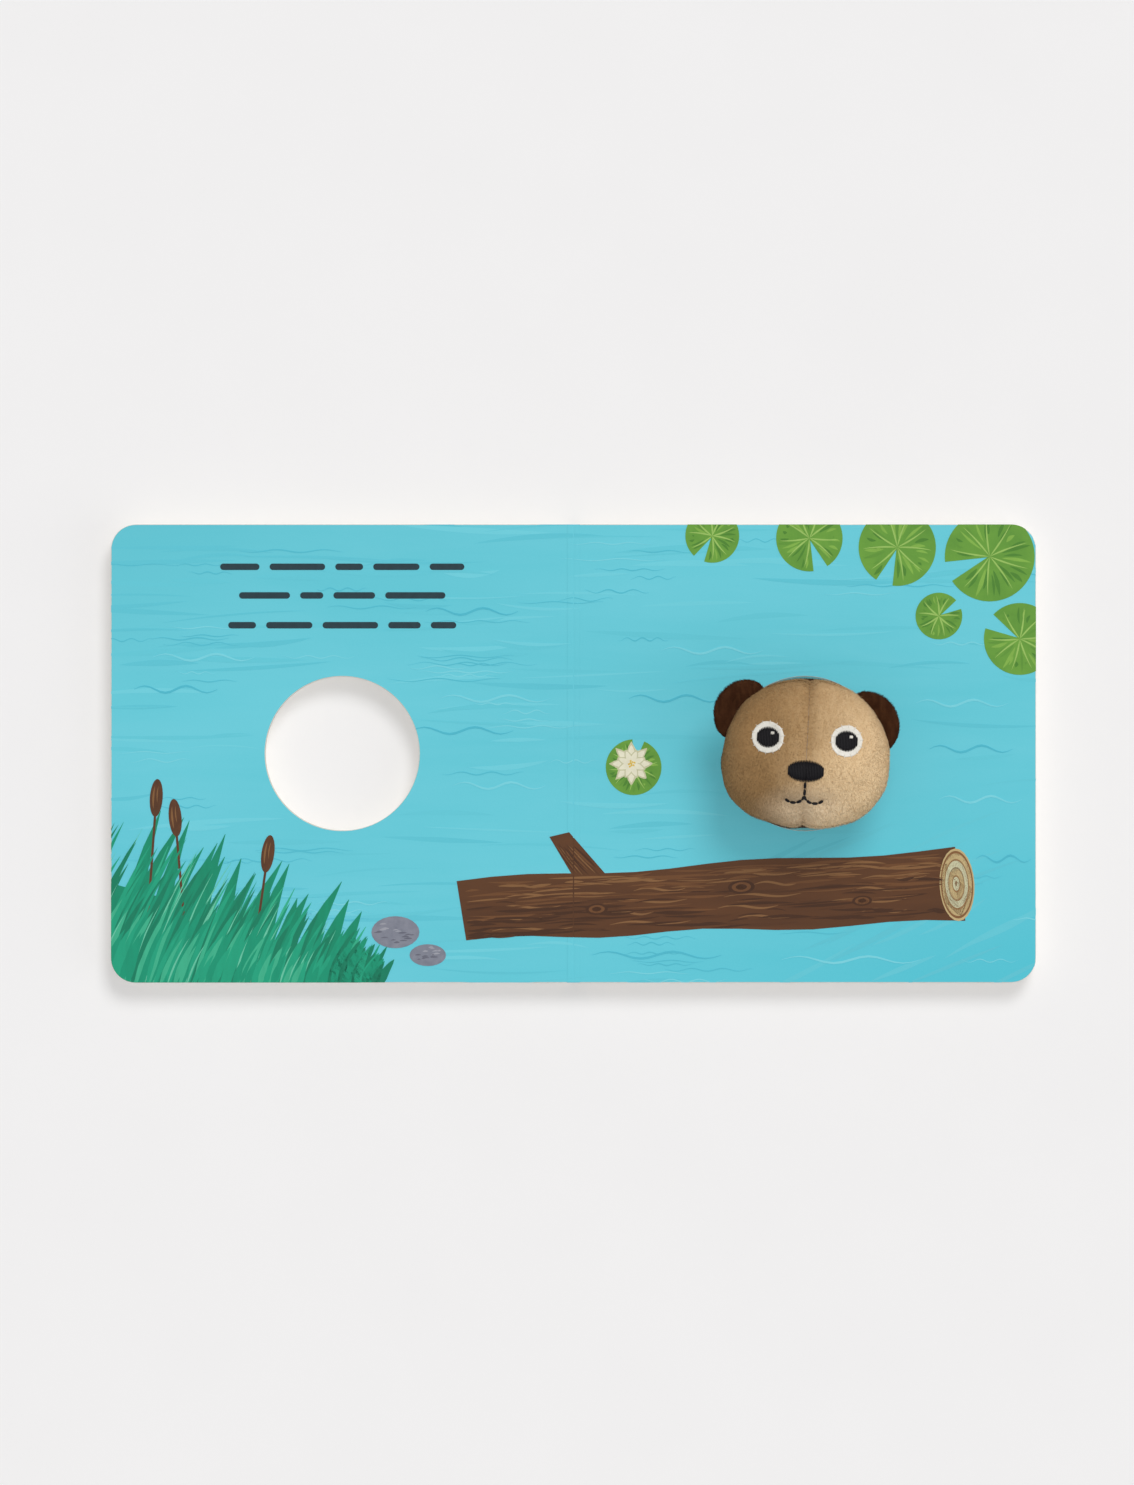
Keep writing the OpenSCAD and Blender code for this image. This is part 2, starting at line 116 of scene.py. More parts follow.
def lin(r, g, b):
    """A colour given as 0 to 255 in sRGB, as the linear values that a shader takes."""
    return tuple((c / 255 / 12.92) if c <= 10 else ((c / 255 + 0.055) / 1.055) ** 2.4
                 for c in (r, g, b)) + (1.0,)


# Materials

class Shader:
    """A small helper that adds nodes to one material and joins them."""

    def __init__(self, name):
        self.mat = bpy.data.materials.new(name)
        self.mat.use_nodes = True
        self.tree = self.mat.node_tree
        self.bsdf = self.tree.nodes["Principled BSDF"]
        self.place = self.add("ShaderNodeTexCoord").outputs["Object"]

    def add(self, kind, **settings):
        node = self.tree.nodes.new(kind)
        for key, value in settings.items():
            setattr(node, key, value)
        return node

    def join(self, out, socket):
        self.tree.links.new(out, socket)

    def stretched(self, scale, turn=0.0):
        """The place, stretched by a scale along each axis and turned about Z."""
        node = self.add("ShaderNodeMapping")
        node.inputs["Scale"].default_value = scale
        node.inputs["Rotation"].default_value = (0, 0, turn)
        self.join(self.place, node.inputs["Vector"])
        return node.outputs["Vector"]

    def noise(self, size, detail=3.0, rough=0.5, vector=None, distortion=0.0):
        """Noise whose features are about size millimetres across."""
        node = self.add("ShaderNodeTexNoise")
        node.inputs["Scale"].default_value = 1 / (size * MM)
        node.inputs["Detail"].default_value = detail
        node.inputs["Roughness"].default_value = rough
        node.inputs["Distortion"].default_value = distortion
        self.join(vector if vector is not None else self.place, node.inputs["Vector"])
        return node.outputs["Fac"]

    def ramp(self, value, low, high, to_low=0.0, to_high=1.0):
        node = self.add("ShaderNodeMapRange", clamp=True)
        self.join(value, node.inputs["Value"])
        for key, number in (("From Min", low), ("From Max", high),
                            ("To Min", to_low), ("To Max", to_high)):
            node.inputs[key].default_value = number
        return node.outputs["Result"]

    def mix(self, share, a, b, blend="MIX"):
        """Colour a turning into colour b as share goes from 0 to 1."""
        node = self.add("ShaderNodeMix", data_type="RGBA", blend_type=blend)
        for value, socket in ((share, node.inputs[0]), (a, node.inputs[6]), (b, node.inputs[7])):
            if isinstance(value, (float, int, tuple)):
                socket.default_value = value
            else:
                self.join(value, socket)
        return node.outputs[2]

    def math(self, kind, a, b=0.0):
        node = self.add("ShaderNodeMath", operation=kind)
        for value, socket in ((a, node.inputs[0]), (b, node.inputs[1])):
            if isinstance(value, (float, int)):
                socket.default_value = value
            else:
                self.join(value, socket)
        return node.outputs[0]

    def axis(self, name):
        node = self.add("ShaderNodeSeparateXYZ")
        self.join(self.place, node.inputs[0])
        return node.outputs[name]

    def bump(self, height, depth, strength=1.0):
        """Bump of a depth in millimetres."""
        node = self.add("ShaderNodeBump")
        node.inputs["Distance"].default_value = depth * MM
        node.inputs["Strength"].default_value = strength
        self.join(height, node.inputs["Height"])
        self.join(node.outputs["Normal"], self.bsdf.inputs["Normal"])

    def finish(self, colour, rough, **fixed):
        self.join(colour, self.bsdf.inputs["Base Color"])
        if isinstance(rough, float):
            self.bsdf.inputs["Roughness"].default_value = rough
        else:
            self.join(rough, self.bsdf.inputs["Roughness"])
        for key, value in fixed.items():
            self.bsdf.inputs[key.replace("_", " ")].default_value = value
        return self.mat


def tone(colour, factor):
    return tuple(min(1.0, c * factor) for c in colour[:3]) + (1.0,)


FILM_GLOSS = 0.14


def printed(name, colour, other=None, size=9.0, stretch=(1, 1, 1), turn=0.0, spread=0.55):
    """Ink under a satin film: brushed colour with a fine paper grain."""
    s = Shader(name)
    other = other or tone(colour, 0.84)
    brush = s.noise(size, 4.0, 0.55, s.stretched(stretch, turn), 0.4)
    body = s.mix(s.ramp(brush, 0.5 - spread / 2, 0.5 + spread / 2), other, colour)
    grain = s.noise(0.35, 2.0, 0.6)
    body = s.mix(s.ramp(grain, 0.35, 0.75, 0.0, 0.10), body, tone(colour, 1.25))
    film = s.noise(2.2, 2.0, 0.5)
    s.bump(film, 0.012, 0.6)
    rough = s.ramp(grain, 0.3, 0.7, 0.40, 0.48)
    return s.finish(body, rough, Specular_IOR_Level=FILM_GLOSS)


def water_print(name):
    """The turquoise ground of the middle spread, deeper towards the lower right."""
    s = Shader(name)
    far = s.noise(60.0, 2.0, 0.5, s.stretched((0.7, 1.2, 1)), 0.3)
    brush = s.noise(13.0, 4.0, 0.6, s.stretched((0.25, 1.7, 1), math.radians(4)), 0.5)
    x = s.ramp(s.axis("X"), -0.108, 0.108)
    y = s.ramp(s.axis("Y"), 0.0535, -0.0535)
    low = s.math("MULTIPLY", s.math("POWER", x, 1.5), s.math("POWER", y, 2.0))
    up = s.math("MULTIPLY", s.ramp(x, 0.55, 0.0), s.ramp(y, 0.40, 0.0))
    body = s.mix(s.ramp(far, 0.3, 0.7), lin(94, 199, 214), lin(103, 204, 219))
    body = s.mix(s.ramp(brush, 0.36, 0.72, 0.0, 0.32), body, lin(117, 209, 224))
    body = s.mix(s.ramp(low, 0.1, 0.9, 0.0, 0.75), body, lin(70, 192, 210))
    body = s.mix(s.ramp(up, 0.0, 1.0, 0.0, 0.55), body, lin(84, 188, 203))
    grain = s.noise(0.35, 2.0, 0.6)
    body = s.mix(s.ramp(grain, 0.35, 0.75, 0.0, 0.05), body, lin(150, 222, 232))
    film = s.noise(2.2, 2.0, 0.5)
    s.bump(film, 0.012, 0.6)
    return s.finish(body, s.ramp(grain, 0.3, 0.7, 0.40, 0.48), Specular_IOR_Level=FILM_GLOSS)


def board_core(name):
    """Cut edge of white board: fine fibres that lie in the plane of the sheet."""
    s = Shader(name)
    fibre = s.noise(0.5, 4.0, 0.6, s.stretched((0.6, 0.6, 5.0)))
    dust = s.noise(6.0, 3.0, 0.5)
    body = s.mix(s.ramp(fibre, 0.3, 0.7), lin(206, 200, 187), lin(238, 234, 224))
    body = s.mix(s.ramp(dust, 0.45, 0.8, 0.0, 0.35), body, lin(222, 212, 192))
    s.bump(fibre, 0.05, 0.8)
    return s.finish(body, 0.85, Specular_IOR_Level=0.25)


def plush(name, deep, body_colour, light, painted_light_and_muzzle=None):
    """Short pile cloth: streaks along the nap, a bump for its tufts and a soft sheen."""
    s = Shader(name)
    patches = s.noise(7.0, 2.0, 0.5, s.stretched((1.0, 0.7, 1.0)), 0.5)
    streak = s.noise(1.7, 3.0, 0.6, s.stretched((1.6, 0.45, 1.0)), 0.3)
    fine = s.noise(0.3, 2.0, 0.6)
    body = s.mix(s.ramp(patches, 0.30, 0.70, 0.45, 0.0), body_colour, deep)
    body = s.mix(s.ramp(streak, 0.40, 0.72, 0.0, 0.40), body, light)
    body = s.mix(s.ramp(fine, 0.50, 0.30, 0.0, 0.22), body, deep)
    # Here the face's cloth gets its painted light and shade, and its paler muzzle
    if painted_light_and_muzzle:
        body = painted_light_and_muzzle(s, body, deep, light)
    height = s.math("ADD", s.math("MULTIPLY", streak, 0.6), s.math("MULTIPLY", fine, 0.4))
    s.bump(height, 0.16, 0.9)
    return s.finish(body, 0.95, Specular_IOR_Level=0.08, Sheen_Weight=0.25,
                    Sheen_Roughness=0.5, Sheen_Tint=light)


def face_painted_light_and_muzzle(s, body, deep, light):
    """Painted light and shade on the face's cloth: painted light to the right and low on the right,
    painted shade to the left, at the crown and in the crease along its seam, and a paler cloth round
    the mouth.
    """
    x, y = s.axis("X"), s.axis("Y")
    side = s.ramp(x, PAINTED_SHADING_X[0] * MM, PAINTED_SHADING_X[1] * MM)
    # Painted shade on the left of the face and painted light on its right
    body = s.mix(s.ramp(side, 0.25, 0.80, 1.0, 0.0), body, deep)
    body = s.mix(s.ramp(side, 0.5, 0.95, 0.0, 0.60), body, light)
    fall = s.ramp(y, PAINTED_SHADING_Y[0] * MM, PAINTED_SHADING_Y[1] * MM)
    # Painted light low on the right, where the chin turns away from the lamps
    low = s.math("MULTIPLY", s.ramp(fall, 0.45, 0.9, 0.0, 0.95), s.ramp(side, 0.3, 0.65))
    body = s.mix(low, body, light)
    # Painted shade at the crown
    body = s.mix(s.ramp(fall, 0.0, 0.5, 0.22, 0.0), body, deep)
    # Painted shade in the crease along the middle seam
    seam_x = s.math("ADD", s.math("MULTIPLY", y, -math.tan(HEAD_TURN)), HOLE_X * MM)
    off = s.math("ABSOLUTE", s.math("SUBTRACT", x, seam_x))
    fold = s.math("MULTIPLY", s.ramp(off, 0.0, SEAM_SHADE_W * MM, 0.36, 0.0), s.ramp(fall, 0.62, 0.45))
    body = s.mix(fold, body, deep)
    across = s.math("DIVIDE", off, MUZZLE_REACH[0] * MM)
    along = s.math("DIVIDE", s.math("SUBTRACT", y, MUZZLE_Y * MM), MUZZLE_REACH[1] * MM)
    away = s.math("ADD", s.math("MULTIPLY", across, across), s.math("MULTIPLY", along, along))
    near = s.ramp(away, 0.0, 1.25, 0.7, 0.0)
    return s.mix(s.math("MULTIPLY", near, near), body, MUZZLE_PALE)


def woven(name, colour):
    """Plain woven lining cloth."""
    s = Shader(name)
    warp = s.add("ShaderNodeTexWave", wave_type="BANDS", bands_direction="Z")
    weft = s.add("ShaderNodeTexWave", wave_type="BANDS", bands_direction="X")
    for wave in (warp, weft):
        wave.inputs["Scale"].default_value = 1 / (1.6 * MM)
        wave.inputs["Distortion"].default_value = 1.2
        s.join(s.place, wave.inputs["Vector"])
    weave = s.math("MAXIMUM", warp.outputs["Fac"], weft.outputs["Fac"])
    cloud = s.noise(4.0, 3.0, 0.5)
    body = s.mix(s.ramp(weave, 0.2, 0.9), tone(colour, 0.62), colour)
    body = s.mix(s.ramp(cloud, 0.4, 0.8, 0.0, 0.3), body, tone(colour, 1.3))
    s.bump(weave, 0.12, 0.8)
    return s.finish(body, 0.9, Specular_IOR_Level=0.2, Sheen_Weight=0.2)


def thread(name, colour):
    """Embroidery thread with a fine twist."""
    s = Shader(name)
    twist = s.noise(0.18, 3.0, 0.6, s.stretched((2.6, 0.5, 1.0)))
    body = s.mix(s.ramp(twist, 0.3, 0.75), tone(colour, 0.55), tone(colour, 1.7))
    s.bump(twist, 0.05, 0.7)
    return s.finish(body, 0.55, Specular_IOR_Level=0.22)


def floor_material(name):
    s = Shader(name)
    speck = s.noise(30.0, 2.0, 0.5)
    body = s.mix(s.ramp(speck, 0.3, 0.7), lin(243, 242, 242), lin(244, 243, 243))
    return s.finish(body, 0.9, Specular_IOR_Level=0.0)


WATER = water_print("page_water")
CORE = board_core("board_core")
COVER = printed("cover_print", lin(58, 158, 172), lin(50, 146, 162), 30.0, (0.4, 1.5, 1))
INNER = printed("inner_page_print", lin(120, 205, 214), None, 30.0)
MUZZLE_PALE = lin(244, 225, 197)
TAN = plush("tan_plush", lin(160, 126, 84), lin(206, 172, 126), lin(240, 212, 170), face_painted_light_and_muzzle)
DARK = plush("dark_plush", lin(38, 18, 8), lin(64, 36, 20), lin(92, 58, 34))
BROWN = plush("brown_plush", lin(60, 34, 18), lin(94, 58, 34), lin(128, 88, 56))
LINING = woven("lining_cloth", lin(150, 124, 96))
FLUFF = plush("stuffing_fluff", lin(205, 203, 196), lin(228, 226, 220), lin(244, 243, 240))
FELT = plush("felt_white", lin(214, 208, 196), lin(236, 232, 222), lin(248, 246, 240))
BLACK = thread("black_thread", lin(17, 15, 19))
INK = printed("ink", lin(38, 62, 70), lin(32, 52, 60), 1.5)

BARK = lin(97, 60, 32)
PRINTS = {
    "text_bars": INK,
    "reeds": printed("reed_dark", lin(10, 146, 110), lin(8, 126, 94), 7.0, (3.0, 0.5, 1), 0.2),
    "reed_lights": printed("reed_light", lin(56, 178, 138), lin(34, 164, 126), 5.0,
                           (3.0, 0.5, 1), 0.2),
    "cattails": printed("cattail_brown", lin(98, 60, 34), lin(76, 46, 26), 2.0, (2, 0.7, 1)),
    "log": printed("log_brown", BARK, lin(80, 48, 26), 7.0, (0.25, 1.6, 1), 0.05),
    "bark_lines": printed("bark_line", lin(136, 96, 58), lin(120, 84, 50), 3.0, (0.4, 2, 1)),
    "log_end": printed("log_end", lin(198, 176, 128), lin(182, 158, 110), 3.0),
    "stones": printed("stone_grey", lin(138, 140, 152), lin(112, 116, 130), 2.5),
    "lily_pads": printed("pad_green", lin(110, 162, 60), lin(88, 142, 52), 6.0),
    "lily": printed("lily_cream", lin(216, 212, 178), lin(196, 194, 158), 3.0),
    "pale_ripples": printed("ripple_pale", lin(124, 211, 223), lin(114, 207, 220), 5.0),
    "deep_ripples": printed("ripple_deep", lin(80, 186, 205), lin(74, 180, 200), 5.0),
}
REED_TONES = [printed("reed_tone_%d" % i, lin(*rgb), None, 4.0, (3.0, 0.5, 1)) for i, rgb in
              enumerate(((8, 128, 96), (14, 152, 116), (26, 164, 126), (60, 180, 140),
                         (104, 200, 166)))]
BARK_TONES = [printed("bark_tone_%d" % i, lin(*rgb), None, 4.0, (0.4, 2, 1)) for i, rgb in
              enumerate(((72, 42, 22), (86, 52, 28), (112, 72, 40), (134, 94, 56), (156, 118, 76)))]
PAD_TONES = [printed("pad_tone_%d" % i, lin(*rgb), None, 4.0) for i, rgb in
             enumerate(((80, 136, 48), (98, 152, 56), (132, 180, 74), (156, 196, 98)))]
LILY_TONES = [printed("lily_tone_%d" % i, lin(*rgb), None, 2.0) for i, rgb in
              enumerate(((236, 232, 206), (206, 204, 168), (222, 188, 84)))]
WATER_TONES = [printed("water_tone_%d" % i, lin(*rgb), tone(lin(*rgb), 0.97), 6.0, (0.4, 2, 1))
               for i, rgb in enumerate(((93, 196, 212), (98, 200, 215), (110, 207, 221),
                                        (82, 188, 206), (122, 211, 223)))]
STONE_TONES = [printed("stone_tone_%d" % i, lin(*rgb), None, 2.0) for i, rgb in
               enumerate(((104, 106, 120), (160, 162, 172)))]


# Mesh helpers

def piece(name, verts, faces, materials, body, slot, face_slots=None, smooth=True):
    """A mesh piece from places in millimetres, riding on a body."""
    mesh = bpy.data.meshes.new(name)
    mesh.from_pydata([Vector(v) * MM for v in verts], [], faces)
    for material in materials:
        mesh.materials.append(material)
    for i, polygon in enumerate(mesh.polygons):
        polygon.use_smooth = smooth if isinstance(smooth, bool) else smooth[i]
        if face_slots:
            polygon.material_index = face_slots[i]
    mesh.validate()
    mesh.update()
    obj = bpy.data.objects.new(name, mesh)
    bpy.context.scene.collection.objects.link(obj)
    if body:
        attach(obj, body)
    return obj


class Builder:
    """Gathers several closed shapes into one mesh."""

    def __init__(self):
        self.verts, self.faces, self.slots, self.smooth = [], [], [], []

    def add(self, verts, faces, slots=0, smooth=True):
        base = len(self.verts)
        self.verts += [tuple(v) for v in verts]
        self.faces += [[i + base for i in f] for f in faces]
        self.slots += [slots] * len(faces) if isinstance(slots, int) else list(slots)
        self.smooth += [smooth] * len(faces) if isinstance(smooth, bool) else list(smooth)

    def make(self, name, materials, body, slot):
        return piece(name, self.verts, self.faces, materials, body, slot, self.slots, self.smooth)


def soften(obj):
    modifier = obj.modifiers.new("soften", "SUBSURF")
    modifier.levels = modifier.render_levels = 1


def spin(x, y, angle, mid=(0, 0)):
    """A place turned by an angle and moved to a middle."""
    c, s = math.cos(angle), math.sin(angle)
    return mid[0] + c * x - s * y, mid[1] + s * x + c * y


def ring_faces(rings, cols):
    """Faces of a closed form made of rings of places, with a cap on its first and last ring."""
    faces = [[k * cols + i, k * cols + (i + 1) % cols, (k + 1) * cols + (i + 1) % cols,
              (k + 1) * cols + i] for k in range(rings - 1) for i in range(cols)]
    return faces + [list(range(cols))[::-1], [(rings - 1) * cols + i for i in range(cols)]]


def outline(x0, side=1, inset=0.0):
    """Corners and edges of a board as places, in order round it, and even along its sides."""
    w, half, r = PAGE_W - inset, PAGE_H / 2 - inset, CORNER_R - inset
    x0 = x0 + inset
    steps, turn = 26, 10

    def line(a, b):
        return [(a[0] + (b[0] - a[0]) * i / steps, a[1] + (b[1] - a[1]) * i / steps)
                for i in range(steps)]

    def arc(mid_y, start):
        turns = [math.radians(start + 90 * i / turn) for i in range(turn)]
        return [(w - r + r * math.cos(a), mid_y + r * math.sin(a)) for a in turns]

    places = (line((x0, -half), (w - r, -half)) + arc(r - half, -90)
              + line((w, r - half), (w, half - r)) + arc(half - r, 0)
              + line((w - r, half), (x0, half)) + line((x0, half), (x0, -half)))
    return [(side * x, y) for x, y in places]


def board(builder, x0, z0, z1, hole_r, side, top, edge, bottom, bevel=0.12):
    """A board with a round hole, with softly rounded edges: top, edge and bottom are slots."""
    def hole(r):
        return [(side * HOLE_X + r * (x - side * HOLE_X) / d, r * y / d)
                for x, y in rim for d in [math.hypot(x - side * HOLE_X, y)]]

    rim = outline(x0, side)
    inner = outline(x0, side, bevel)
    loops = [(inner, z0), (rim, z0 + bevel), (rim, z1 - bevel), (inner, z1),
             (hole(hole_r + bevel), z1), (hole(hole_r), z1 - bevel),
             (hole(hole_r), z0 + bevel), (hole(hole_r + bevel), z0)]
    kinds = [edge, edge, edge, top, edge, edge, edge, bottom]
    n = len(rim)
    verts = [(x, y, z) for loop, z in loops for x, y in loop]
    faces, slots, smooth = [], [], []
    for k, kind in enumerate(kinds):
        m = (k + 1) % len(loops)
        for i in range(n):
            j = (i + 1) % n
            face = [k * n + i, k * n + j, m * n + j, m * n + i]
            faces.append(face if side > 0 else face[::-1])
            slots.append(kind)
            smooth.append(k not in (3, 7))
    builder.add(verts, faces, slots, smooth)


def box(builder, low, high, slot=0):
    """A plain block, for strips that lie between other pieces."""
    xs, ys, zs = zip(low, high)
    verts = [(x, y, z) for z in zs for y in ys for x in xs]
    faces = [[0, 2, 3, 1], [4, 5, 7, 6], [0, 1, 5, 4], [2, 6, 7, 3], [0, 4, 6, 2], [1, 3, 7, 5]]
    builder.add(verts, faces, slot, False)


def slab(builder, places, z0, z1, slot=0):
    """A flat printed shape, closed all round. Its places run anticlockwise."""
    n = len(places)
    verts = [(x, y, z) for z in (z0, z1) for x, y in places]
    faces = [list(range(n))[::-1], list(range(n, 2 * n))]
    faces += [[i, (i + 1) % n, n + (i + 1) % n, n + i] for i in range(n)]
    builder.add(verts, faces, slot, False)


# Covers and pages

def covers_and_pages():
    """The boards of both sides, each with its printed face and its pale cut edge."""
    for side, body, word, hole_r in ((-1, LEFT, "front", HOLE_R), (1, RIGHT, "back", FINGER_HOLE_R)):
        cover = Builder()
        board(cover, CREASE_W, 0.0, COVER_T, hole_r, side, 0, 1, 0)
        low, high = sorted((side * CREASE_W, side * BLOCK_X))
        box(cover, (low, -PAGE_H / 2 + 0.02, COVER_T - 0.1), (high, PAGE_H / 2 - 0.02, STACK_T - 0.4))
        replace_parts(cover.make(word + "_cover_board", [COVER, CORE], body, "cover_board"),
                    word + "_cover")
    lining = Builder()
    board(lining, BLOCK_X, COVER_T + 0.02, COVER_T + LINING_T, FINGER_HOLE_R, 1, 0, 1, 1)
    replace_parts(lining.make("back_lining_board", [INNER, CORE], RIGHT, "page_board"),
                "back_lining")
    for side, body, word, z0, count in ((-1, LEFT, "front", COVER_T + LEAF_GAP, 3),
                                        (1, RIGHT, "back", COVER_T + LINING_T + LEAF_GAP, 2)):
        leaves = Builder()
        for i in range(count):
            z = z0 + i * (LEAF_T + LEAF_GAP)
            last = i == count - 1
            board(leaves, BLOCK_X, z, z + LEAF_T, HOLE_R, side, 0 if last else 2, 1, 2)
            low, high = sorted((side * (BLOCK_X + 0.3), side * (BLOCK_X + GLUE_W)))
            box(leaves, (low, -PAGE_H / 2 + 0.4, z - LEAF_GAP - 0.05),
                (high, PAGE_H / 2 - 0.4, z + 0.05), 1)
        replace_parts(leaves.make(word + "_board_pages", [WATER, CORE, INNER], body, "page_board"),
                    word + "_pages")


def folded_sheet(across, along, place, t):
    """A thin closed sheet over the gutter. place gives its top from a share across and along."""
    n, rows = len(across), len(along) - 1
    verts = [(x, y, z - t * level) for level in (0, 1) for b in along for a in across
             for x, y, z in [place(a, b)]]
    size = n * (rows + 1)
    faces = []
    for j in range(rows):
        for i in range(n - 1):
            a, b = j * n + i, (j + 1) * n + i
            faces.append([a, a + 1, b + 1, b])
            faces.append([size + a, size + b, size + b + 1, size + a + 1])
    for i in range(n - 1):
        a, b = i, rows * n + i
        faces.append([a, size + a, size + a + 1, a + 1])
        faces.append([b, b + 1, size + b + 1, size + b])
    for j in range(rows):
        a, b = j * n, j * n + n - 1
        faces.append([a, a + n, size + a + n, size + a])
        faces.append([b, size + b, size + b + n, b + n])
    return verts, faces


def over_gutter(obj):
    """Moves the place of a piece that lies over the gutter into its mesh."""
    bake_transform(obj)


def gutter_fold():
    """The printed sheet of the middle spread where it runs through the gutter."""
    reach, dip, inked_half = 1.5, 0.04, 0.17
    half = [0.05, 0.11, 0.2, 0.4, 0.6, 0.8, 0.93, 1]
    across = [-a for a in half[::-1]] + [0] + half
    along = sorted([-1 + i / 18 for i in range(37)] + [-0.998, 0.998]
                   + [y / (PAGE_H / 2) for y in LOG_AT_GUTTER])

    def place(a, b):
        sink = dip * math.exp(-(a * reach / 0.3) ** 2) + 0.002 * abs(a) ** 8
        return a * reach, (PAGE_H / 2 - 0.02) * b, STACK_T + 0.004 - sink

    verts, faces = folded_sheet(across, along, place, 0.08)
    slots = []
    for face in faces:
        mid = sum((Vector(verts[k]) for k in face), Vector()) / len(face)
        inked = LOG_AT_GUTTER[0] < mid.y < LOG_AT_GUTTER[1] and abs(mid.x) < inked_half
        slots.append(1 if inked else 0)
    wide = 2 * (len(along) - 1) * (len(across) - 1)
    smooth = [True] * wide + [False] * (len(faces) - wide)
    over_gutter(piece("gutter_fold", verts, faces, [WATER, PRINTS["log"]], None, "page_board", slots,
                      smooth))


def spine_crease():
    """The cover's spine strip where it bends under the gutter."""
    reach, rows = 0.8, 20

    def place(a, b):
        return a * reach, (PAGE_H / 2 - 0.04) * b, STACK_T - 0.26 - 0.1 * a * a

    verts, faces = folded_sheet([i / 6 for i in range(-6, 7)],
                                [2 * j / rows - 1 for j in range(rows + 1)], place, 0.12)
    over_gutter(piece("spine_crease", verts, faces, [COVER], None, "cover_board"))


# Head surface

def rim_place(angle, wx, wy, s=1.0):
    """A place s of the way out to the head's outline, which is wider at the cheeks."""
    across = (abs(math.cos(angle)) / wx) ** HEAD_POWER
    along = (abs(math.sin(angle)) / wy) ** HEAD_POWER
    k = s * (across + along) ** (-1 / HEAD_POWER)
    y = k * math.sin(angle)
    return k * math.cos(angle) * (1 - CHEEK * y / wy), y


def face_z(x, y, inset=FACE_INSET):
    """Height of the face over a place on the head."""
    wx, wy = HALF_W - inset, HALF_L - inset
    s = (abs(x) / wx / (1 - CHEEK * y / wy)) ** HEAD_POWER + (abs(y) / wy) ** HEAD_POWER
    rise = (FACE_RISE - inset) * math.sqrt(max(0.0, 1 - s))
    muzzle = MUZZLE_RISE * math.exp(-(x / 7.5) ** 2 - ((y + HALF_L * 0.36) / 5.6) ** 2)
    return SEAM_Z + rise + muzzle


def on_head(place):
    """A place about the head's middle, turned with the head and moved over its hole."""
    return (*spin(place[0], place[1], HEAD_TURN, (HOLE_X, 0)), place[2])


def grid_normals(grid, wrap):
    """Outward normals of a grid of places, from the places next to each."""
    rows, cols = len(grid), len(grid[0])
    out = []
    for j in range(rows):
        row = []
        for i in range(cols):
            left = grid[j][(i - 1) % cols if wrap else max(i - 1, 0)]
            right = grid[j][(i + 1) % cols if wrap else min(i + 1, cols - 1)]
            below, above = grid[max(j - 1, 0)][i], grid[min(j + 1, rows - 1)][i]
            n = (Vector(right) - Vector(left)).cross(Vector(above) - Vector(below))
            row.append(n.normalized() if n.length > 1e-9 else Vector((0, 0, 1)))
        out.append(row)
    return out


def lumps(place, normal, amount, size):
    """A place moved along its normal by soft unevenness."""
    return Vector(place) + normal * amount * noise.noise(Vector(place) / size)


def shell(name, grid, thickness, material, body, slot, wrap=False, roll=0.5, sides=None):
    """A closed piece of thick cloth from a grid of outer places, with edges that roll in."""
    sides = sides or (roll, roll)
    rows, cols = len(grid), len(grid[0])
    normals = grid_normals(grid, wrap)
    outer, inner = [], []
    for j in range(rows):
        for i in range(cols):
            edges = [(j, roll), (rows - 1 - j, roll)]
            edges += [] if wrap else [(i, sides[0]), (cols - 1 - i, sides[1])]
            sink = sum(depth * math.exp(-(step / 1.1) ** 2) for step, depth in edges)
            p = Vector(grid[j][i])
            outer.append(p - normals[j][i] * min(sink, roll * 1.2))
            inner.append(p - normals[j][i] * thickness)
    size = rows * cols
    faces = []
    for j in range(rows - 1):
        for i in range(cols if wrap else cols - 1):
            k = (i + 1) % cols
            a, b, c, d = j * cols + i, j * cols + k, (j + 1) * cols + k, (j + 1) * cols + i
            faces.append([a, b, c, d])
            faces.append([size + d, size + c, size + b, size + a])
    for i in range(cols if wrap else cols - 1):
        k = (i + 1) % cols
        last = (rows - 1) * cols
        faces.append([k, i, size + i, size + k])
        faces.append([last + i, last + k, size + last + k, size + last + i])
    if not wrap:
        for j in range(rows - 1):
            a, b = j * cols, j * cols + cols - 1
            faces.append([a, a + cols, size + a + cols, size + a])
            faces.append([b + cols, b, size + b, size + b + cols])
    return piece(name, outer + inner, faces, [material], body, slot)


FACE_GRID = 68
SIM_SCALE = 0.1
SIM_FRAMES = 20
SIM_CAP = 0.9
BULGE = 0.45
SEAM_HOLD = 0.08
BACK_INSET = (0.45, 0.2)
MOUTH_DENT_Y, MOUTH_PIN_Y = -10.6, -10.8


def grid_quads(n):
    """Faces of a square grid with n places each way."""
    return [[j * n + i, j * n + i + 1, (j + 1) * n + i + 1, (j + 1) * n + i]
            for j in range(n - 1) for i in range(n - 1)]


def flat(grid):
    """The places of a grid in one list, row by row."""
    return [p for row in grid for p in row]


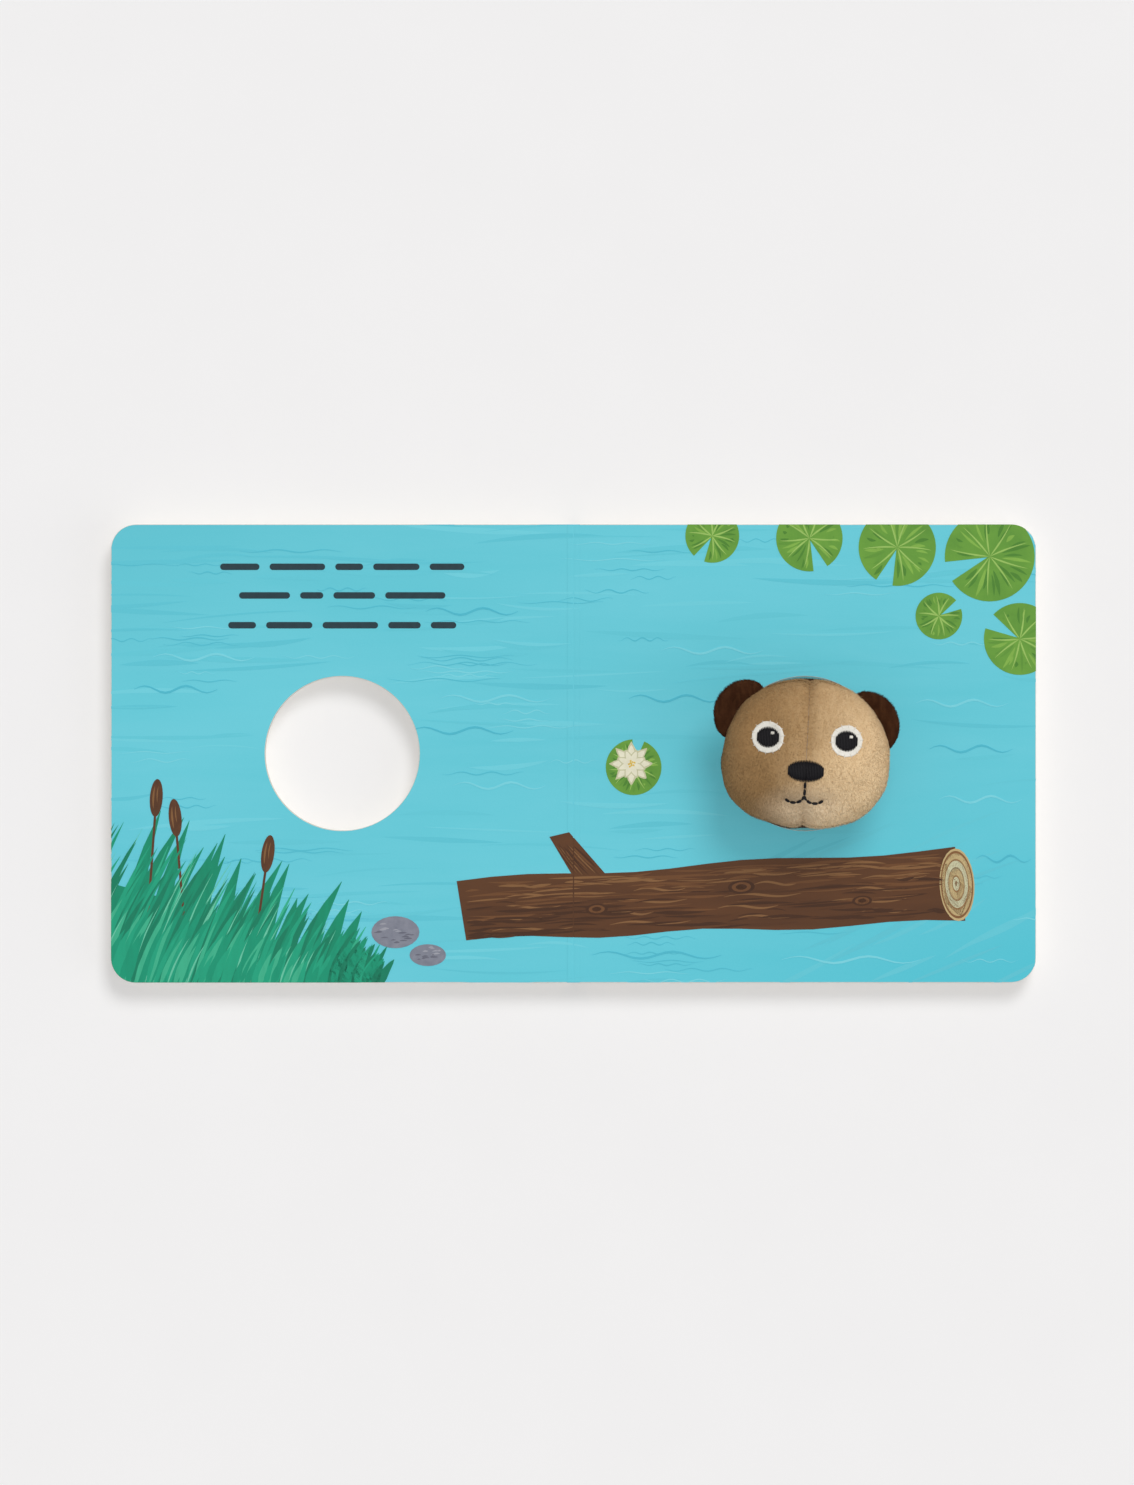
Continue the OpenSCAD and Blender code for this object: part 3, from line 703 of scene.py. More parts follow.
def face_base():
    """Places of the stuffed face before it is inflated, row by row from chin to crown."""
    grid = []
    for j in range(FACE_GRID + 1):
        row = []
        for i in range(FACE_GRID + 1):
            u, v = 2 * i / FACE_GRID - 1, 2 * j / FACE_GRID - 1
            a, b = u * math.sqrt(1 - v * v / 2), v * math.sqrt(1 - u * u / 2)
            s = min(1.0, math.hypot(a, b))
            x, y = rim_place(math.atan2(b, a), HALF_W - FACE_INSET, HALF_L - FACE_INSET, s)
            z = face_z(x, y)
            x, y = x * (1 - BULGE / HALF_W), y * (1 - BULGE / HALF_L)
            crown = math.exp(-((y - 16) / 6) ** 2)
            seam = (0.12 + 0.35 * crown) * math.exp(-abs(x) / 0.5)
            chin = 0.85 * math.exp(-((y + HALF_L * 0.95) / 4.0) ** 2 - (x / 1.6) ** 2)
            eyes = sum(0.55 * math.exp(-((x - side * EYE_MID[0]) ** 2 + (y - EYE_MID[1]) ** 2) / 7)
                       for side in (-1, 1))
            smile = 0.5 * math.exp(-((abs(x) - 3.6) / 1.6) ** 2 - ((y - MOUTH_DENT_Y) / 1.4) ** 2)
            row.append(Vector((x, y + 0.6 * chin, z - seam - chin - eyes - smile)))
        grid.append(row)
    return grid


def inflate(grid):
    """Cloth simulation of the face: sewn down at its seams and eyes, pushed out by stuffing."""
    n = len(grid)
    mesh = bpy.data.meshes.new("inflated")
    mesh.from_pydata([p * SIM_SCALE for p in flat(grid)], [], grid_quads(n))
    obj = bpy.data.objects.new("inflated", mesh)
    bpy.context.scene.collection.objects.link(obj)
    pins = obj.vertex_groups.new(name="pins")
    for j in range(n):
        for i in range(n):
            p = grid[j][i]
            eye = math.hypot(abs(p.x) - EYE_MID[0], p.y - EYE_MID[1]) < 1.7
            mouth = abs(p.y - MOUTH_PIN_Y) < 0.7 and 1.5 < abs(p.x) < 4.6
            if i in (0, n - 1, n // 2) or j in (0, n - 1) or eye or mouth:
                pins.add([j * n + i], 1.0, "REPLACE")
    cloth = obj.modifiers.new("cloth", "CLOTH").settings
    cloth.quality = 6
    cloth.mass = 0.3
    cloth.tension_stiffness = cloth.compression_stiffness = 12
    cloth.shear_stiffness = 6
    cloth.bending_stiffness = 0.6
    cloth.vertex_group_mass = "pins"
    cloth.use_pressure = True
    cloth.uniform_pressure_force = 4
    cloth.shrink_min = -0.05
    cloth.effector_weights.gravity = 0
    scene = bpy.context.scene
    scene.frame_start, scene.frame_end = 1, SIM_FRAMES
    for frame_number in range(1, SIM_FRAMES + 1):
        scene.frame_set(frame_number)
    done = obj.evaluated_get(bpy.context.evaluated_depsgraph_get()).to_mesh()
    out = []
    for j in range(n):
        row = []
        for i in range(n):
            move = done.vertices[j * n + i].co / SIM_SCALE - grid[j][i]
            row.append(grid[j][i] + move * min(1.0, SIM_CAP / max(1e-6, move.length)))
        out.append(row)
    scene.frame_set(1)
    bpy.data.objects.remove(obj)
    return out


class Face:
    """The finished face surface, and where things sewn onto it lie."""

    def __init__(self):
        grid = face_base()
        grid = inflate(grid)
        normals = grid_normals(grid, False)
        self.grid = [[lumps(p, n, 0.4, 6.0) for p, n in zip(row, around)]
                     for row, around in zip(grid, normals)]
        self.tree = BVHTree.FromPolygons(flat(self.grid), grid_quads(FACE_GRID + 1))

    def at(self, x, y, lift=0.0):
        """A place over x and y on the face, lifted off it."""
        hit = self.tree.ray_cast(Vector((x, y, 99.0)), Vector((0, 0, -1)))[0]
        return (x, y, (hit.z if hit else SEAM_Z) + lift)

    def panel(self, name, side):
        half = FACE_GRID // 2
        columns = range(half, FACE_GRID + 1) if side > 0 else range(half + 1)
        grid = []
        for row in self.grid:
            out = [Vector(row[i]) for i in columns]
            if side > 0:
                out.insert(1, out[0].lerp(out[1], SEAM_HOLD))
            else:
                out.insert(-1, out[-1].lerp(out[-2], SEAM_HOLD))
            grid.append([on_head(p) for p in out])
        rolls = (0.0, 0.4) if side > 0 else (0.4, 0.0)
        obj = shell(name, grid, PLUSH_T, TAN, HEAD, "tan_plush", roll=0.4, sides=rolls)
        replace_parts(obj, "face_left" if side < 0 else "face_right")
        pile(name + "_pile", grid, TAN, "tan_plush", PILE_FACE, 0.75, (0.05, -1.0, 0.0))
        soften(obj)


def pile(name, grid, material, slot, count, length, nap, wrap=False, skip=0):
    """Short fibres that stand on a grid of places and lean along the nap."""
    rng = random.Random(name)
    rows, cols = len(grid), len(grid[0])
    normals = grid_normals(grid, wrap)
    cells, weights = [], []
    for j in range(skip, rows - 1 - skip):
        for i in range(cols if wrap else cols - 1):
            k = (i + 1) % cols
            a = (Vector(grid[j][k]) - Vector(grid[j][i])).cross(
                Vector(grid[j + 1][i]) - Vector(grid[j][i])).length
            cells.append((j, i, k))
            weights.append(a)
    verts, faces = [], []
    for j, i, k in rng.choices(cells, weights, k=count):
        s, t = rng.random(), rng.random()
        place = (Vector(grid[j][i]).lerp(Vector(grid[j][k]), s)).lerp(
            Vector(grid[j + 1][i]).lerp(Vector(grid[j + 1][k]), s), t)
        normal = normals[j][i]
        swirl = noise.noise(place / 6) * 0.7
        lean = Vector(nap) + Vector((swirl, 0, 0)) + Vector(
            (rng.uniform(-0.35, 0.35), rng.uniform(-0.35, 0.35), rng.uniform(-0.2, 0.2)))
        along = (normal * 0.55 + lean - normal * lean.dot(normal)).normalized()
        across = along.cross(normal).normalized() * 0.055
        root = place - normal * 0.15
        base = len(verts)
        verts += [root - across, root + across, root + normal * 0.09 + along * 0.05,
                  root + along * length * rng.uniform(0.6, 1.1)]
        faces += [[base, base + 1, base + 2], [base, base + 3, base + 1],
                  [base + 1, base + 3, base + 2], [base + 2, base + 3, base]]
    return piece(name, verts, faces, [material], HEAD, slot)


PILE_FACE, PILE_BACK, PILE_EAR = 26000, 24000, 7000


def head_back():
    """The dark back of the head, from the seam under the face down to the neck."""
    cols, rows = 132, 20
    grid = []
    for j in range(rows + 1):
        t = math.pi / 2 * (1 - j / rows)
        row = []
        for i in range(cols):
            angle = 2 * math.pi * i / cols
            x, y = rim_place(angle, HALF_W - BACK_INSET[0], HALF_L - BACK_INSET[1])
            out = math.cos(t)
            neck = NECK_R + 0.2
            gather = math.sin(angle * 22 + 2 * math.sin(angle * 3)) * (1 - out)
            k = 1 + 0.25 * gather / HALF_L
            qx, qy = neck * math.cos(angle), neck * math.sin(angle)
            row.append(((qx + (x - qx) * out) * k, (qy + (y - qy) * out) * k,
                        SEAM_Z - 0.1 - 7.9 * math.sin(t)))
        grid.append(row)
    normals = grid_normals(grid, True)
    grid = [[on_head(lumps(p, n, 0.5, 6.0)) for p, n in zip(row, around)]
            for row, around in zip(grid, normals)]
    obj = shell("head_back_panel", grid, PLUSH_T, DARK, HEAD, "dark_plush", wrap=True, roll=0.4)
    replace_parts(obj, "head_back")
    pile("head_back_pile", grid, DARK, "dark_plush", PILE_BACK, 0.42, (0, 0, -0.3), True, 1)
    soften(obj)


def stuffing():
    """The stuffing between the finger pocket and the cloth of the head."""
    inset = PLUSH_T + FACE_INSET + 0.3
    r = POCKET_R + PLUSH_T + 0.15
    top = HEAD_Z0 + POCKET_H + 0.2
    grid = []
    cols = 64

    def ring(places):
        grid.append([on_head(p) for p in places])

    angles = [2 * math.pi * i / cols for i in range(cols)]
    for z, share in ((top, 0.03), (top, 0.6), (top - 0.4, 0.97), (top - 2, 1.0),
                     ((HEAD_Z0 + top) / 2, 1.0), (HEAD_Z0 + 1.2, 1.0)):
        ring([(share * r * math.cos(a), share * r * math.sin(a), z) for a in angles])
    for t in (0.85, 0.6, 0.3, 0.0):
        row = []
        for a in angles:
            x, y = rim_place(a, HALF_W - inset, HALF_L - inset)
            out = math.cos(math.pi / 2 * t)
            qx, qy = (r + 0.3) * math.cos(a), (r + 0.3) * math.sin(a)
            row.append((qx + (x - qx) * out, qy + (y - qy) * out,
                        SEAM_Z - 7.4 * math.sin(math.pi / 2 * t)))
        ring(row)
    for s in (0.97, 0.9, 0.75, 0.55, 0.35, 0.15, 0.03):
        row = []
        for a in angles:
            x, y = rim_place(a, HALF_W - inset, HALF_L - inset, s)
            row.append((x, y, face_z(x, y, inset) - 0.2))
        ring(row)
    obj = piece("head_filling", flat(grid), ring_faces(len(grid), cols), [FLUFF], HEAD, "stuffing")
    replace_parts(obj, "head_stuffing")


EAR_SHIFT = {-1: (-0.7, 0.3), 1: (0.1, -1.0)}


def ear(name, side):
    """A cupped lobe of two layers of plush, sewn into the seam."""
    cols, rows = 56, 17
    half = EAR_W / 2
    angle = EAR_ANGLE if side > 0 else math.pi - EAR_ANGLE
    px, py = rim_place(angle, HALF_W, HALF_L, 0.95)
    px, py = px + EAR_SHIFT[side][0], py + EAR_SHIFT[side][1]
    tilt = math.radians(20)
    turn = angle - math.pi / 2
    grid = []
    for k in range(rows):
        a = math.radians(-87 + 174 * k / (rows - 1))
        row = []
        for i in range(cols):
            w = 2 * math.pi * i / cols
            s = math.cos(a) ** 0.7
            x, y, z = half * s * math.cos(w), half * 0.84 * s * math.sin(w), EAR_T / 2 * math.sin(a)
            x *= 1.06 - 0.10 * math.sin(w)
            cup = math.exp(-(x * x + (y - 0.8) ** 2) / 11)
            z += 0.04 * (x * x + y * y) / half - (1.15 if z > 0 else 0.0) * cup
            z += 0.3 * noise.noise(Vector((x, y, side * 9)) / 3.0)
            y, z = spin(y, z, tilt)
            x, y = spin(x, y, turn)
            row.append(Vector(on_head((px + x, py + y, SEAM_Z + 2 + z))))
        grid.append(row)
    obj = piece(name, flat(grid), ring_faces(rows, cols), [DARK], HEAD, "dark_plush")
    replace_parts(obj, "ear_left" if side < 0 else "ear_right")
    nap = (0.5 * side, 0.8, 0.2)
    pile(name + "_pile", grid, DARK, "dark_plush", PILE_EAR, 0.7, nap, True)
    soften(obj)


# Stitched features

def rod(builder, places, radius, sides=8):
    """A short length of thread through places, with rounded ends."""
    n = len(places)
    verts = []
    for i, p in enumerate(places):
        before, after = Vector(places[max(i - 1, 0)]), Vector(places[min(i + 1, n - 1)])
        along = (after - before).normalized()
        across = along.cross(Vector((0, 0, 1))).normalized()
        up = across.cross(along)
        end = min(i, n - 1 - i)
        r = radius * (0.25 if end == 0 else 0.85 if end == 1 else 1.0)
        for k in range(sides):
            w = 2 * math.pi * k / sides
            verts.append(Vector(p) + (across * math.cos(w) + up * math.sin(w)) * r)
    builder.add(verts, ring_faces(n, sides))


def on_face(places):
    """Places over the face, each given with its lift off the cloth, turned with the head."""
    return [on_head(face.at(*place)) for place in places]


def satin(name, node, mid, half_w, reach, lift=0.0, pitch=0.36):
    """A field of side-by-side stitches. reach gives how far each runs below and above mid."""
    stitches = Builder()
    count = int(2 * half_w / pitch)
    for i in range(count):
        x = -half_w + pitch * (i + 0.5) + (2 * half_w - count * pitch) / 2
        low, high = reach(x / half_w)
        if high - low < 0.5:
            continue
        places = []
        for k in range(9):
            t = k / 8
            crown = lift + 0.2 + 0.4 * math.sin(math.pi * t) ** 0.6 - (0.4 if k in (0, 8) else 0)
            places.append((mid[0] + x, mid[1] + low + (high - low) * t, crown))
        rod(stitches, on_face(places), pitch * 0.62)
    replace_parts(stitches.make(name, [BLACK], HEAD, "black_thread"), node)


def eye(name, side):
    """A felt disc with a round black eye in satin stitch and one pale stitch on it."""
    mid = (side * EYE_MID[0], EYE_MID[1])
    word = "left" if side < 0 else "right"
    cols = 40
    rings = ((0.3, -0.3), (0.99, -0.25), (1.0, 0.05), (0.985, 0.3), (0.93, 0.42), (0.8, 0.45),
             (0.5, 0.45), (0.15, 0.45))
    verts = []
    for share, lift in rings:
        for i in range(cols):
            w = 2 * math.pi * i / cols
            r = EYE_DISC_R * share * (1 + 0.012 * math.sin(5 * w + side) + 0.01 * math.sin(11 * w))
            verts.append((mid[0] + r * math.cos(w), mid[1] + r * math.sin(w), lift))
    disc = piece(name + "_disc", on_face(verts), ring_faces(len(rings), cols), [FELT], HEAD,
                 "felt_white")
    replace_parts(disc, "eye_disc_" + word)
    sewing = Builder()
    stitch_count = 14
    for i in range(stitch_count):
        w = 2 * math.pi * (i + 0.3) / stitch_count
        section = []
        for k, lift in enumerate((0.35, 0.5, 0.5, 0.5, 0.05, 0.05)):
            r = EYE_DISC_R - 0.75 + 1.1 * k / 5
            section.append((mid[0] + r * math.cos(w), mid[1] + r * math.sin(w), lift))
        rod(sewing, on_face(section), 0.11, 6)
    sewing.make(name + "_sewing", [FELT], HEAD, "felt_white")
    satin(name + "_stitches", "eye_" + word, mid, EYE_R, round_reach(EYE_R), 0.45)
    glint = Builder()
    for i in range(3):
        x = mid[0] + 0.75 + 0.26 * i
        section = [(x, mid[1] + 0.55 + 0.9 * k / 5, 1.12 - (0.25 if k in (0, 5) else 0))
                   for k in range(6)]
        rod(glint, on_face(section), 0.17, 6)
    glint.make(name + "_glint", [FELT], HEAD, "felt_white")


def round_reach(half):
    return lambda s: (-half * math.sqrt(max(0, 1 - s * s)), half * math.sqrt(max(0, 1 - s * s)))


def nose_reach(s):
    """The nose is a wide oval with a flatter top."""
    curve = math.sqrt(max(0, 1 - s * s))
    return -NOSE_W * 0.34 * curve ** 0.8, NOSE_W * 0.29 * curve


def mouth():
    """A short line down from the nose and a shallow curve to each side, in back stitch."""
    stitches = Builder()
    foot = NOSE_Y - NOSE_W * 0.34
    low = foot - 3.0

    def run(places, count):
        for k in range(count):
            section = []
            for i in range(7):
                t = (k + 0.04 + 0.92 * i / 6) / count
                section.append((*places(t), 0.0 if i in (0, 6) else 0.34))
            rod(stitches, on_face(section), 0.34)

    run(lambda t: (0.0, foot + 0.2 + (low - foot - 0.2) * t), 2)
    for side in (-1, 1):
        run(lambda t, side=side: (side * (0.1 + 2.3 * (1 - math.cos(math.radians(150 * t)))),
                                  low - 1.7 * math.sin(math.radians(150 * t))), 4)
    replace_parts(stitches.make("mouth_stitches", [BLACK], HEAD, "black_thread"), "mouth_stitch")


# Sleeve and finger pocket


def turned(name, profile, material, body, slot, fold=None, cols=96):
    """A closed ring of cloth from a profile of radius and height about the puppet's middle."""
    n = len(profile)
    verts = []
    for k, (r, z) in enumerate(profile):
        for i in range(cols):
            a = 2 * math.pi * i / cols
            q = r + (fold(a, z, k) if fold else 0)
            verts.append((HOLE_X + q * math.cos(a), q * math.sin(a), z))
    faces = [[k * cols + i, k * cols + (i + 1) % cols, ((k + 1) % n) * cols + (i + 1) % cols,
              ((k + 1) % n) * cols + i] for k in range(n) for i in range(cols)]
    return piece(name, verts, faces, [material], body, slot)


def sleeve():
    """The plush neck, gathered at its top and glued between the back boards by a flange."""
    z0, top = COVER_T, NECK_Z - 0.1
    shoulder = NECK_Z - 4.5
    outer = [(FLANGE_R, z0 + 0.05), (FLANGE_R, z0 + FLANGE_T - 0.03), (SLEEVE_R + 0.4, z0 + FLANGE_T)]
    outer += [(SLEEVE_R - 0.1, z0 + FLANGE_T + 0.6 + (shoulder - z0 - 1) * i / 7) for i in range(8)]
    for i in range(1, 7):
        t = math.pi / 2 * i / 6
        outer.append((NECK_R + (SLEEVE_R - 0.1 - NECK_R) * math.cos(t),
                      shoulder + (top - shoulder) * math.sin(t)))
    inner = [(r - PLUSH_T, z) for r, z in outer[:2:-1]]
    profile = outer + inner + [(SLEEVE_R - PLUSH_T - 0.1, z0 + 0.05)]
    count = len(outer)

    def fold(a, z, k):
        if z < z0 + FLANGE_T + 0.5 or k > count:
            return 0.0
        high = max(0.0, (z - shoulder + 3) / 7.5)
        return (0.22 * high * math.sin(a * 19 + math.sin(3 * a)) + 0.25 * noise.noise(
            Vector((math.cos(a) * 3, math.sin(a) * 3, z / 4))) - 0.2)

    obj = turned("puppet_neck", profile, BROWN, None, "dark_plush", fold)
    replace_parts(obj, "puppet_sleeve")
    soften(obj)
    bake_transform(obj)


def pocket():
    """The lining tube in the head that a finger goes into, with a gathered closed end."""
    z0, top = HEAD_Z0 + 0.05, HEAD_Z0 + POCKET_H
    wall = PLUSH_T - 0.2
    r = POCKET_R + 0.1
    outer = [(r + wall, z0 + 0.2), (r + wall, z0 + 3), (r + wall, z0 + 7), (r + wall, top - 4.2),
             (r + wall - 1.2, top - 2), (r - 2.6, top - 0.4), (r - 6, top - 0.1), (0.4, top)]
    inner = [(0.4, top - 1.2), (r - 6, top - 1.3), (r - 3.2, top - 1.9), (r - 0.9, top - 3.6),
             (r, top - 5.5), (r, z0 + 7), (r, z0 + 3), (r, z0 + 0.2)]

    def fold(a, z, k):
        end = max(0.0, (z - top + 6) / 6)
        return 0.28 * math.sin(a * 12) * end * (0.2 if k in (7, 8) else 1)

    obj = turned("finger_pocket_lining", outer + inner, LINING, HEAD, "lining_cloth", fold, 72)
    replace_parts(obj, "finger_pocket")


# Print

def at(u, v):
    """A place on the spread: u counts page widths and v half page heights."""
    return u * PAGE_W, v * PAGE_H / 2


def clip(places, region):
    """The part of a shape that lies inside a region with an anticlockwise, convex outline."""
    for (ax, ay), (bx, by) in zip(region, region[1:] + region[:1]):
        out = []
        for k, (px, py) in enumerate(places):
            qx, qy = places[k - 1]
            p = (bx - ax) * (py - ay) - (by - ay) * (px - ax)
            q = (bx - ax) * (qy - ay) - (by - ay) * (qx - ax)
            if p * q < 0:
                t = q / (q - p)
                out.append((qx + (px - qx) * t, qy + (py - qy) * t))
            if p >= 0:
                out.append((px, py))
        places = out
        if len(places) < 3:
            return []
    return places


class Paint:
    """Flat strokes of ink on one page or both, each a hair above the last."""

    def __init__(self, name, tones, slot, base, step=0.00025):
        self.name, self.tones, self.slot, self.base, self.step = name, tones, slot, base, step
        self.sides = {-1: Builder(), 1: Builder()}
        self.count = 0

    def add(self, shapes, ink):
        """One stroke, made of convex shapes that meet edge to edge."""
        self.count += 1
        top = self.base + 0.008 + self.step * self.count
        for side, builder in self.sides.items():
            if any(math.hypot(x - side * HOLE_X, y) < HOLE_R + 0.25
                   for places in shapes for x, y in places):
                continue
            for places in shapes:
                inside = clip(places, REGIONS[side])
                if inside:
                    slab(builder, inside, self.base - 0.05, top, ink)

    def strip(self, left, right, ink):
        """A band between two edges that run the same way and may meet at their ends."""
        shapes = []
        for a, b, c, d in zip(right, right[1:], left[1:], left):
            places = [a, b] + [q for q in (c, d) if math.dist(q, a) > 1e-6 and math.dist(q, b) > 1e-6]
            shapes.append(places)
        self.add(shapes, ink)

    def stroke(self, start, end, bend, width, ink, peak=0.5, steps=9):
        """A brush stroke, pointed at both ends and widest at its peak, bent to its left."""
        (ax, ay), (bx, by) = start, end
        length = math.hypot(bx - ax, by - ay)
        nx, ny = -(by - ay) / length, (bx - ax) / length
        left, right = [], []
        for i in range(steps + 1):
            t = i / steps
            off = bend * 4 * t * (1 - t)
            w = width / 2 * (t / peak if t < peak else (1 - t) / (1 - peak)) ** 0.6
            x, y = ax + (bx - ax) * t + nx * off, ay + (by - ay) * t + ny * off
            left.append((x + nx * w, y + ny * w))
            right.append((x - nx * w, y - ny * w))
        self.strip(left, right, ink)

    def wave(self, mid, length, rise, waves, width, ink, phase=0.0, steps=24):
        """A thin line that waves about its middle and fades out at both ends."""
        up, down = [], []
        for i in range(steps + 1):
            t = i / steps
            x = mid[0] + length * (t - 0.5)
            y = mid[1] + rise * math.sin(2 * math.pi * waves * t + phase)
            w = width / 2 * (0.1 + 0.9 * math.sin(math.pi * t))
            up.append((x, y + w))
            down.append((x, y - w))
        self.strip(up, down, ink)

    def oval(self, mid, rx, ry, ink, turn=0.0, steps=28):
        around = [2 * math.pi * i / steps for i in range(steps)]
        self.add([[spin(rx * math.cos(w), ry * math.sin(w), turn, mid) for w in around]], ink)

    def make(self):
        for side, builder in self.sides.items():
            if builder.faces:
                name = ("left_" if side < 0 else "right_") + self.name
                builder.make(name, self.tones, LEFT if side < 0 else RIGHT, self.slot)


def page_region(side):
    """The printed part of a page, from beside the gutter to just inside its edges."""
    places = outline(0.1, side, 0.04)
    return places if side > 0 else places[::-1]


REGIONS = {side: page_region(side) for side in (-1, 1)}
INK_Z = STACK_T + PRINT_T


def paint_water():
    """Broad faint brush marks and clusters of fine ripples on the water, under the other print."""
    rng = random.Random(11)
    paint = Paint("blue_strokes", WATER_TONES, "pale_water", STACK_T, 0.00022)
    for i in range(210):
        u, v = rng.uniform(-1, 1), rng.uniform(-1, 1)
        x, y = at(u, v)
        slope = math.radians(rng.uniform(-3, 5) + (24 if u > 0.35 and v < -0.35 else 0))
        length = rng.uniform(12, 40)
        dx, dy = length / 2 * math.cos(slope), length / 2 * math.sin(slope)
        deep = u > 0.35 and v < -0.35 or u < -0.5 and v > 0.3
        ink = rng.choice((0, 0, 1) if deep else (0, 1, 2, 1, 2))
        paint.stroke((x - dx, y - dy), (x + dx, y + dy), rng.uniform(-1, 1),
                     rng.uniform(0.4, 1.6), ink)
    for i in range(62):
        x, y = at(rng.uniform(-0.97, 0.97), rng.uniform(-0.95, 0.95))
        length = rng.uniform(14, 32)
        for k in range(rng.choice((1, 2, 3))):
            ink = rng.choice((3, 3, 4))
            paint.wave((x + rng.uniform(-7, 7), y - 1.9 * k), length * rng.uniform(0.5, 1),
                       rng.uniform(0.2, 0.42), rng.uniform(1.5, 3.4), rng.uniform(0.2, 0.32), ink,
                       rng.uniform(0, 6))
    paint.make()


def paint_reeds():
    """Single blades over the reed bed, dark ones behind and light ones in front."""
    rng = random.Random(5)
    paint = Paint("reed_strokes", REED_TONES, "leaf_green", INK_Z)
    count = 230
    for i in range(count):
        share = ((i * 61) % count) / count
        layer = i / count
        foot = at(-1.14 + 0.70 * share, -1.03)
        tall = PAGE_H * (0.375 - 0.30 * max(0.0, share - 0.1) ** 1.1)
        length = tall * (1.04 - 0.70 * layer) * rng.uniform(0.8, 1.0)
        lean = 0.14 + 0.16 * rng.random() + 0.18
        end = (foot[0] + length * lean, foot[1] + length)
        ink = rng.choice((0, 1, 0, 2) if layer < 0.5 else (1, 2, 3)) if rng.random() < 0.86 else 4
        paint.stroke(foot, end, length * 0.045, rng.uniform(1.0, 2.3) if ink < 4 else 0.45, ink,
                     0.35)
    for i in range(16):
        foot = at(-0.54 + 0.0075 * i, -1.04)
        length = (15.5 - 0.55 * i) * rng.uniform(0.85, 1.1)
        paint.stroke(foot, (foot[0] + length * rng.uniform(0.3, 0.6), foot[1] + length),
                     length * 0.05, rng.uniform(1.8, 2.8), rng.choice((0, 1, 2)), 0.4)
    for u, high, turn in ((-0.93, 0.47, 4), (-0.83, 0.42, -5), (-0.70, 0.33, 8)):
        foot = at(u, -1)
        top = high * PAGE_H * 0.86
        a = math.radians(-turn)
        for x, down, width in ((-0.5, -2.6, 0.5), (0.35, -1.2, 0.3)):
            paint.stroke(spin(x, top + down, a, foot), spin(x, top + 2.8, a, foot), 0.2, width, 5)
    paint.tones = REED_TONES + [BARK_TONES[3]]
    paint.make()


LOG_MID = at(0.29, -0.63)
LOG_LEN = PAGE_W * 1.08
LOG_W = 17.0
LOG_TURN = math.radians(3)


def on_log(x, y):
    """A place on the log, from along and across it."""
    return spin(x, y, LOG_TURN, LOG_MID)


def paint_log():
    """Grain along the floating log, darker below, with knots and rings on its cut end."""
    rng = random.Random(3)
    paint = Paint("log_strokes", BARK_TONES, "bark_brown", INK_Z)
    for i in range(230):
        x = rng.uniform(-0.54, 0.5) * LOG_LEN
        half = LOG_W / 2 * (0.82 + 0.18 * (x / LOG_LEN + 0.5))
        v = rng.uniform(-0.9, 0.88)
        length = rng.uniform(4, 20)
        x0, x1 = max(x - length / 2, -0.485 * LOG_LEN), min(x + length / 2, 0.475 * LOG_LEN)
        if x1 - x0 < 3:
            continue
        wave = 0.03 * math.sin(x * 0.3)
        ink = rng.choice((0, 0, 1)) if v < -0.35 else rng.choice((1, 2, 0)) if v < 0.3 else (
            rng.choice((2, 3, 2)))
        paint.stroke(on_log(x0, half * (v - wave)), on_log(x1, half * (v + wave)),
                     rng.uniform(-0.4, 0.4), rng.uniform(0.25, 0.85), ink)
    for x, v, size in ((-26, -0.15, 1.0), (8, 0.25, 1.2), (36, -0.3, 0.9)):
        for share, ink in ((1.0, 0), (0.72, 2), (0.42, 0)):
            paint.oval(on_log(x, v * LOG_W / 2), 2.6 * size * share, 1.3 * size * share, ink,
                       LOG_TURN)
    for k in range(14):
        foot, tip = -LOG_LEN * (0.256 - 0.0042 * k), -LOG_LEN * (0.3035 - 0.0022 * k)
        near, far = rng.uniform(0.0, 0.35), rng.uniform(0.75, 0.97)
        ends = [(foot + (tip - foot) * t, LOG_W * (0.36 + (0.50 + 0.003 * k) * t))
                for t in (near, far)]
        paint.stroke(on_log(*ends[0]), on_log(*ends[1]), rng.uniform(-0.1, 0.2),
                     rng.uniform(0.3, 0.6), (0, 2, 1, 3, 1, 2, 0)[k % 7])
    paint.make()
    ends = Paint("log_rings", [PRINTS["log_end"]] + BARK_TONES[3:] + [LILY_TONES[1]], "cream", INK_Z)
    mid = on_log(LOG_LEN / 2, 0)
    for share, ink in ((0.93, 1), (0.86, 0), (0.70, 2), (0.65, 3), (0.47, 2), (0.42, 0),
                        (0.24, 2), (0.19, 3), (0.07, 1)):
        ends.oval((mid[0] - 0.25 * (1 - share), mid[1] + 0.3 * (1 - share)), LOG_W * 0.24 * share,
                  LOG_W / 2 * share, ink, LOG_TURN, 40)
    ends.make()


PADS = ((0.90, 0.86, 1.0, 200), (0.70, 0.90, 0.86, 250), (0.965, 0.50, 0.8, 150),
        (0.51, 0.94, 0.74, 290), (0.30, 0.95, 0.6, 240), (0.79, 0.60, 0.52, 30),
        (0.13, -0.06, 0.62, 80))
PAD_R = 10.5


